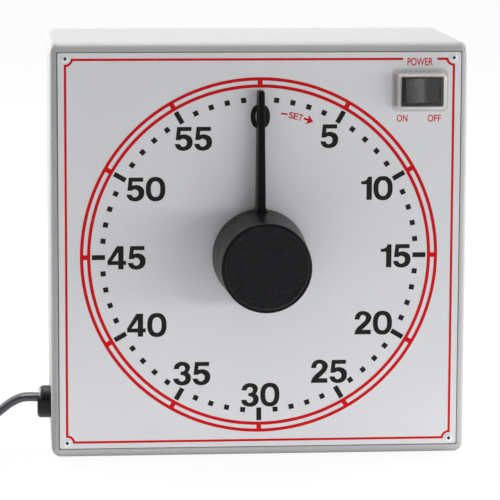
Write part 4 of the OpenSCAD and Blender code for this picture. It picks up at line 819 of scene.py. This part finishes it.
digitOutlines = {
    "0": [oblong((4.45, 5.35), 4.45, 5.6), oblong((4.45, 5.35), 2.15, 3.6)],
    "1": [outlineOf([(2.5, 0), (5, 0)], [(5, 10.7), (3.2, 10.7)], [(3.2, 10.7), (2.6, 9.5), (1.5, 8.75),
        (0, 8.55)], [(0, 7.2), (2.5, 7.2)])],
    "2": [outlineOf([(0.05, 6.95), (0.75, 9.3), (2.3, 10.6), (4, 10.95), (6.1, 10.45), (7.5, 9.2),
        (7.95, 7.7), (7.2, 5.7), (5.5, 3.85), (3.6, 2.12)], [(7.75, 2.12), (7.75, 0)], [(0, 0), (0.6, 1.9),
        (1.7, 3.5), (3.6, 5.2), (4.85, 6.4), (5.35, 7.7), (4.95, 8.65), (3.95, 9.1), (2.85, 8.55),
        (2.4, 6.95)])],
    "3": [outlineOf([(0.2, 7.48), (0.74, 9.2), (2.14, 10.5), (4.15, 10.94), (6.43, 10.37), (7.64, 9.1),
        (7.8, 8), (7.44, 6.7), (6.86, 5.84)], [(6.86, 5.84), (7.84, 4.8), (8.24, 3.06), (7.64, 1.32),
        (6.3, 0.18), (4.15, -0.26), (1.88, 0.25), (0.54, 1.45), (0, 3.06)], [(2.48, 3.06), (3.08, 1.99),
        (4.09, 1.65), (5.23, 2.12), (5.63, 3.2), (5.23, 4.2), (4.3, 4.62), (3.42, 4.67)], [(3.42, 6.2),
        (4.4, 6.3), (5.23, 6.8), (5.53, 7.68), (5.16, 8.69), (4.15, 9.06), (3.02, 8.55), (2.59, 7.48)])],
    "4": [outlineOf([(4.9, 0), (7.36, 0)], [(7.36, 2), (8.54, 2)], [(8.54, 3.86), (7.36, 3.86)],
        [(7.36, 10.7), (4.3, 10.7)], [(0, 3.86), (0, 2)], [(4.9, 2)]), outlineOf([(4.9, 7.85), (4.9, 3.86)],
        [(2.05, 3.86)])],
    "5": [outlineOf([(1.14, 10.7), (7.7, 10.7)], [(7.7, 8.8), (2.85, 8.8)], [(2.61, 7.02), (3.9, 7.28),
        (5.2, 7.22), (6.97, 6.5), (7.97, 5.2), (8.2, 3.6), (7.77, 1.72), (6.3, 0.31), (4, -0.25),
        (1.74, 0.25), (0.54, 1.45), (0, 2.93)], [(2.35, 2.93), (2.95, 1.99), (4.02, 1.61), (5.2, 2.26),
        (5.6, 3.46), (5.2, 4.67), (4.02, 5.27), (3.05, 5.05), (2.55, 4.67)], [(0.47, 4.67)])],
}
numeralPlaces = {"0": (0, 65), "5": (32.05, 55.8), "10": (54.5, 31.3), "15": (63.65, -0.5),
                 "20": (53.4, -32.2), "25": (32.75, -55.05), "30": (0.5, -65.8), "35": (-31.65, -55.25),
                 "40": (-52.55, -32.1), "45": (-61.9, -0.3), "50": (-52.9, 31.6), "55": (-30.95, 54.95)}
numeralSpec = {"gap": 0.7, "height": 10.7, "scale": 1.012}


# Digits stand a gap apart, and all of them together are centred on the numeral's place
def numeralFilms(text, centre):
    widths = [digitWidths[digit] for digit in text]
    x = -(sum(widths) + numeralSpec["gap"] * (len(text) - 1)) / 2
    films = []
    for digit, width in zip(text, widths):
        corner = (x, -numeralSpec["height"] / 2)
        outlines = [(outline + corner) * numeralSpec["scale"] + centre for outline in digitOutlines[digit]]
        films.append(inkFilm(outlines))
        x += width + numeralSpec["gap"]
    return films


# Minute dots are small squares, and a heavier stroke stands at every five minutes but nought
tickSpec = {"dot": 2.4, "dotRadius": 73.0, "stroke": (2.3, 6.1), "strokeRadius": 74.75}
blackFilms = [film for text, centre in numeralPlaces.items() for film in numeralFilms(text, centre)]
for minute in range(1, 60):
    long = minute % 5 == 0
    outline = barOutline(*tickSpec["stroke"]) if long else barOutline(tickSpec["dot"], tickSpec["dot"])
    centre = np.add(onRadius(tickSpec["strokeRadius" if long else "dotRadius"], minute * 6), printShift)
    blackFilms.append(inkFilm([turned(outline, minute * 6, centre)]))
addPrint("blackPrint", blackFilms, "blackScreenInk")
print("dial printed")

# Splash boot: a thin clear cap with a flange, hollow over the rocker
bootSpec = {
    "x": 74.2, "z": 173.3, "height": 10, "wall": 0.7, "edge": 1.6, "innerCorner": 1.0, "outerCorner": 1.8,
    "flange": (12.95, 9.9), "opening": (9.9, 6.9), "foot": (11.3, 8.3), "top": (11, 8), "lidInset": 3,
    "lidCorner": 0.8, "middle": (0.6, 0.4, 0.2),
    # Rings between the inner and the outer rounding: the outline, the way in from it, corner and height
    "skirt": (("foot", 0.7, 0.9, 1.1), ("foot", 0.8, 0.9, 1.0), ("opening", 0, 0.8, 1.0),
              ("opening", 0, 0.8, 0.02), ("flange", 0.2, 2.4, 0.02), ("flange", 0, 2.4, 0.2),
              ("flange", 0, 2.4, 0.75), ("flange", 0.25, 2.3, 1.0), ("foot", -0.5, 2.0, 1.0),
              ("foot", -0.12, 1.7, 1.15), ("foot", 0, 1.6, 1.6)),
}


# A ring is a rounded oblong at one height over the panel, its four corners drawn as quarter rounds
def oblongRing(spec, halfX, halfZ, corner, height):
    ring = []
    for signX, signZ, start in ((1, 1, 0), (-1, 1, 90), (-1, -1, 180), (1, -1, 270)):
        a = np.radians(start + np.linspace(0, 90, 9))
        ring.append(pointsOf(spec["x"] + signX * (halfX - corner) + corner * np.cos(a), dial["y"] - height,
                             spec["z"] + signZ * (halfZ - corner) + corner * np.sin(a)))
    return np.concatenate(ring)


# The shell's skin runs from the middle of the ceiling down the inner wall, under the flange, round its
# edge, up the outer wall and to the middle of the face. Both roundings are quarter rounds about one centre
def bootRings(spec):
    topX, topZ = spec["top"]
    height = spec["height"]
    wall = spec["wall"]
    edge = spec["edge"]
    lid = [spec["middle"], (topX - spec["lidInset"], topZ - spec["lidInset"], spec["lidCorner"])]
    rings = [(*ring, height - wall) for ring in lid]
    for a in np.radians(np.linspace(90, 0, 6)):
        inset = wall + (edge - wall) * (1 - math.cos(a))
        rings.append((topX - inset, topZ - inset, spec["innerCorner"],
                      height - wall - (edge - wall) * (1 - math.sin(a))))
    for outline, inset, corner, at in spec["skirt"]:
        halfX, halfZ = spec[outline]
        rings.append((halfX - inset, halfZ - inset, corner, at))
    for a in np.radians(np.linspace(0, 90, 8)):
        inset = edge * (1 - math.cos(a))
        rings.append((topX - inset, topZ - inset, spec["outerCorner"], height - edge * (1 - math.sin(a))))
    rings += [(*ring, height) for ring in lid[::-1]]
    return np.stack([oblongRing(spec, *ring) for ring in rings])


addPiece("bootShell", closedTube(bootRings(bootSpec)), "clearSilicone",
         replaced=("splash_boot",))

# The rocker and the switch's bezel get the small rounding of a moulded edge
for nodeName in ("rocker", "switch_body"):
    roundEdges(nodes[nodeName], 0.35)
print("boot made")

# Panel screws: small domed heads with a cross recess
screwSpec = {"x": 89.8, "z": 89.8, "caseZ": 98.5, "head": 1.7, "rim": 0.2, "rise": 0.45, "armHalf": 0.32,
             "armReach": 0.8, "armSlopes": (0.1, 0.12), "recess": 0.7, "shadeFrom": 0.12,
             # Radius and height over the panel from the shank's end to the head's rim
             "under": ((0.3, -11), (1.3, -11), (1.5, -10.4), (1.5, 0), (1.64, 0), (1.7, 0.05), (1.7, 0.2))}


# Height over the panel is a shallow dome, less a recess where the point lies on one of the cross's arms
def screwRings(spec, signX, signZ):
    a = fullTurn(96)
    under = np.array(spec["under"])
    radii = np.concatenate([under[:, 0], np.linspace(1.65, 1.1, 6), np.linspace(1.0, 0.04, 18)])[:, None]
    x = radii * np.cos(a)
    z = radii * np.sin(a)
    dome = np.sqrt(np.clip(1 - (radii / spec["head"]) ** 2, 0, 1))
    near = np.minimum(np.abs(x), np.abs(z))
    sideSlope, endSlope = spec["armSlopes"]
    cut = ease((spec["armHalf"] - near) / sideSlope + 0.5) * ease((spec["armReach"] - radii) / endSlope)
    height = spec["rim"] + (spec["rise"] - spec["rim"]) * dome - spec["recess"] * cut
    height[:len(under)] = under[:, 1:]
    return pointsOf(signX * spec["x"] + x, dial["y"] - height, spec["caseZ"] + signZ * spec["z"] + z)


heads = [closedTube(screwRings(screwSpec, signX, signZ)) for signX in (-1, 1) for signZ in (-1, 1)]
screws = addPiece("panelScrewHeads", joined(heads), "dulledNickel",
                  replaced=("panel_screws",))


# The recesses are painted dark: painted shade in the cross
def inRecess(middles):
    offX = np.abs(middles[:, 0]) - screwSpec["x"]
    offZ = np.abs(middles[:, 2] - screwSpec["caseZ"]) - screwSpec["z"]
    below = middles[:, 1] - (dial["y"] - screwSpec["rise"])
    near = np.hypot(offX, offZ) < screwSpec["armReach"] + 0.1
    return near & (below > screwSpec["shadeFrom"]) & (below < 1)


# The dark steel laid in the cross recesses is painted shade
screws.data.materials.append(materials["blackOxideAndPaintedShade"])
paintFaces(screws, 1, inRecess)

# Strain relief: a round bushing in two halves that clamp the cord, the upper half set back a little
reliefSpec = {"x": -97, "y": -4, "z": 24.1, "neck": 6.3, "inner": 13, "channel": 3.9, "split": 2.1,
              "lower": {"radius": 7.75, "out": 6.4, "round": 1.8, "edge": -0.12, "cord": 0.0, "turn": -1},
              "upper": {"radius": 7.5, "out": 5.7, "round": 2.4, "edge": 0.15, "cord": 4.2, "turn": 1}}


# Each ring is the part of a circle on one side of the split, with a square channel for the cord. The
# circle grows in a quarter round from the outer face and narrows to the neck in the case's wall
def reliefRings(spec, part):
    channel = spec["channel"]
    edge = spec["split"] + part["edge"]
    chord = [(-channel, edge), (-channel, part["cord"]), (channel, part["cord"]), (channel, edge)]
    a = np.linspace(0, np.pi / 2, 9)
    x = np.concatenate([-part["out"] + part["round"] * (1 - np.cos(a)), [0, 0, spec["inner"]]])
    rounding = part["radius"] - part["round"] * (1 - np.sin(a))
    radius = np.concatenate([rounding, [part["radius"], spec["neck"], spec["neck"]]])
    rings = []
    for along, r in zip(x, radius):
        start = math.asin(edge / r)
        stop = math.pi - start if part["turn"] > 0 else -math.pi - start
        t = np.linspace(start, stop, 40)
        section = np.concatenate([np.stack([r * np.cos(t), r * np.sin(t)], 1), chord])
        rings.append(pointsOf(spec["x"] + along, spec["y"] + section[:, 0], spec["z"] + section[:, 1]))
    return np.stack(rings)


for part, replacedNode in (("lower", "strain_relief_body"), ("upper", "strain_relief_wedge")):
    tube = closedTube(reliefRings(reliefSpec, reliefSpec[part]))
    half = addPiece(part + "Relief", tube, "reliefNylon", replaced=(replacedNode,))
    roundEdges(half, 0.5, 40)
print("screws and strain relief made")

# Floor, wide enough for every view, white to the camera where nothing shades it
floorSpec = {"size": 12, "colour": "#E6E6E6", "roughness": 0.9, "glow": 1.05, "share": 0.9}
bpy.ops.mesh.primitive_plane_add(size=floorSpec["size"], location=(0, 0, 0))
floor = bpy.context.object
floor.name = "floor"
floorMaterial = bpy.data.materials.new("paperFloor")
floorMaterial.use_nodes = True
tree = floorMaterial.node_tree
shader = tree.nodes["Principled BSDF"]
shader.inputs["Base Color"].default_value = toLinear(floorSpec["colour"])
shader.inputs["Roughness"].default_value = floorSpec["roughness"]
glow = addNode(tree, "Emission", {"Color": (1, 1, 1, 1), "Strength": floorSpec["glow"]})
rays = addNode(tree, "LightPath")
seen = addNode(tree, "Math", {0: rays.outputs["Is Camera Ray"], 1: rays.outputs["Is Glossy Ray"]},
               operation="MAXIMUM").outputs[0]
seen = addNode(tree, "Math", {0: seen, 1: rays.outputs["Is Transmission Ray"]},
               operation="MAXIMUM").outputs[0]
share = addNode(tree, "Math", {0: seen, 1: floorSpec["share"]}, operation="MULTIPLY").outputs[0]
mixed = addNode(tree, "MixShader", {0: share, 1: shader.outputs[0], 2: glow.outputs[0]})
tree.links.new(mixed.outputs[0], tree.nodes["Material Output"].inputs["Surface"])
floor.data.materials.append(floorMaterial)

# World: white to the camera. In shiny and clear surfaces it is white behind, above and beside the object
# and dark where the photographer stands, and on plain surfaces it gives a soft even light
worldSpec = {"plain": 0.28, "front": 0.12, "frontY": -0.75, "besideY": -0.1}
world = bpy.data.worlds.new("studio")
bpy.context.scene.world = world
world.use_nodes = True
tree = world.node_tree
background = tree.nodes["Background"]
background.inputs["Color"].default_value = (1, 1, 1, 1)
rays = addNode(tree, "LightPath")
way = addNode(tree, "SeparateXYZ", {0: addNode(tree, "TexCoord").outputs["Generated"]})
studio = addNode(tree, "MapRange", {"Value": way.outputs["Y"], "From Min": worldSpec["frontY"],
                                    "From Max": worldSpec["besideY"], "To Min": worldSpec["front"],
                                    "To Max": 1.0}, interpolation_type="SMOOTHSTEP")
mirrored = addNode(tree, "Math", {0: rays.outputs["Is Glossy Ray"], 1: rays.outputs["Is Transmission Ray"]},
                   operation="MAXIMUM").outputs[0]
shiny = addNode(tree, "Mix", {"Factor": mirrored, "A": worldSpec["plain"],
                              "B": studio.outputs["Result"]}).outputs[0]
level = addNode(tree, "Mix", {"Factor": rays.outputs["Is Camera Ray"], "A": shiny, "B": 1.0}).outputs[0]
tree.links.new(level, background.inputs["Strength"])

# Lamps: a low broad one from the front right, stronger ones over the top and beside both sides, and a
# faint one just over the floor in front, for the light that a pale table throws back
lampSpecs = {
    "frontLamp": {"at": (1.15, -1.0, 0.12), "power": 7.0, "size": (1.4, 0.22)},
    "tableLamp": {"at": (0, -0.067, 0.0005), "power": 0.06, "size": (0.36, 0.075), "to": (0, -0.067, 1)},
    "rightLamp": {"at": (1.4, 0.65, 0.4), "power": 19},
    "leftLamp": {"at": (-1.3, 1.2, 0.45), "power": 25},
    "topLamp": {"at": (-0.05, 0.25, 0.95), "power": 6.8},
}
for lampName, spec in lampSpecs.items():
    lampData = bpy.data.lights.new(lampName, "AREA")
    lampData.shape = "RECTANGLE"
    lampData.size, lampData.size_y = spec.get("size", (0.6, 0.6))
    lampData.energy = spec["power"]
    lamp = bpy.data.objects.new(lampName, lampData)
    bpy.context.scene.collection.objects.link(lamp)
    lamp.location = spec["at"]
    aim = Vector(spec.get("to", (0, 0, 0.1))) - Vector(spec["at"])
    lamp.rotation_euler = aim.to_track_quat("-Z", "Y").to_euler()
    lamp.visible_camera = False
    lamp.visible_glossy = lampName != "tableLamp"
print("stage and lamps set")
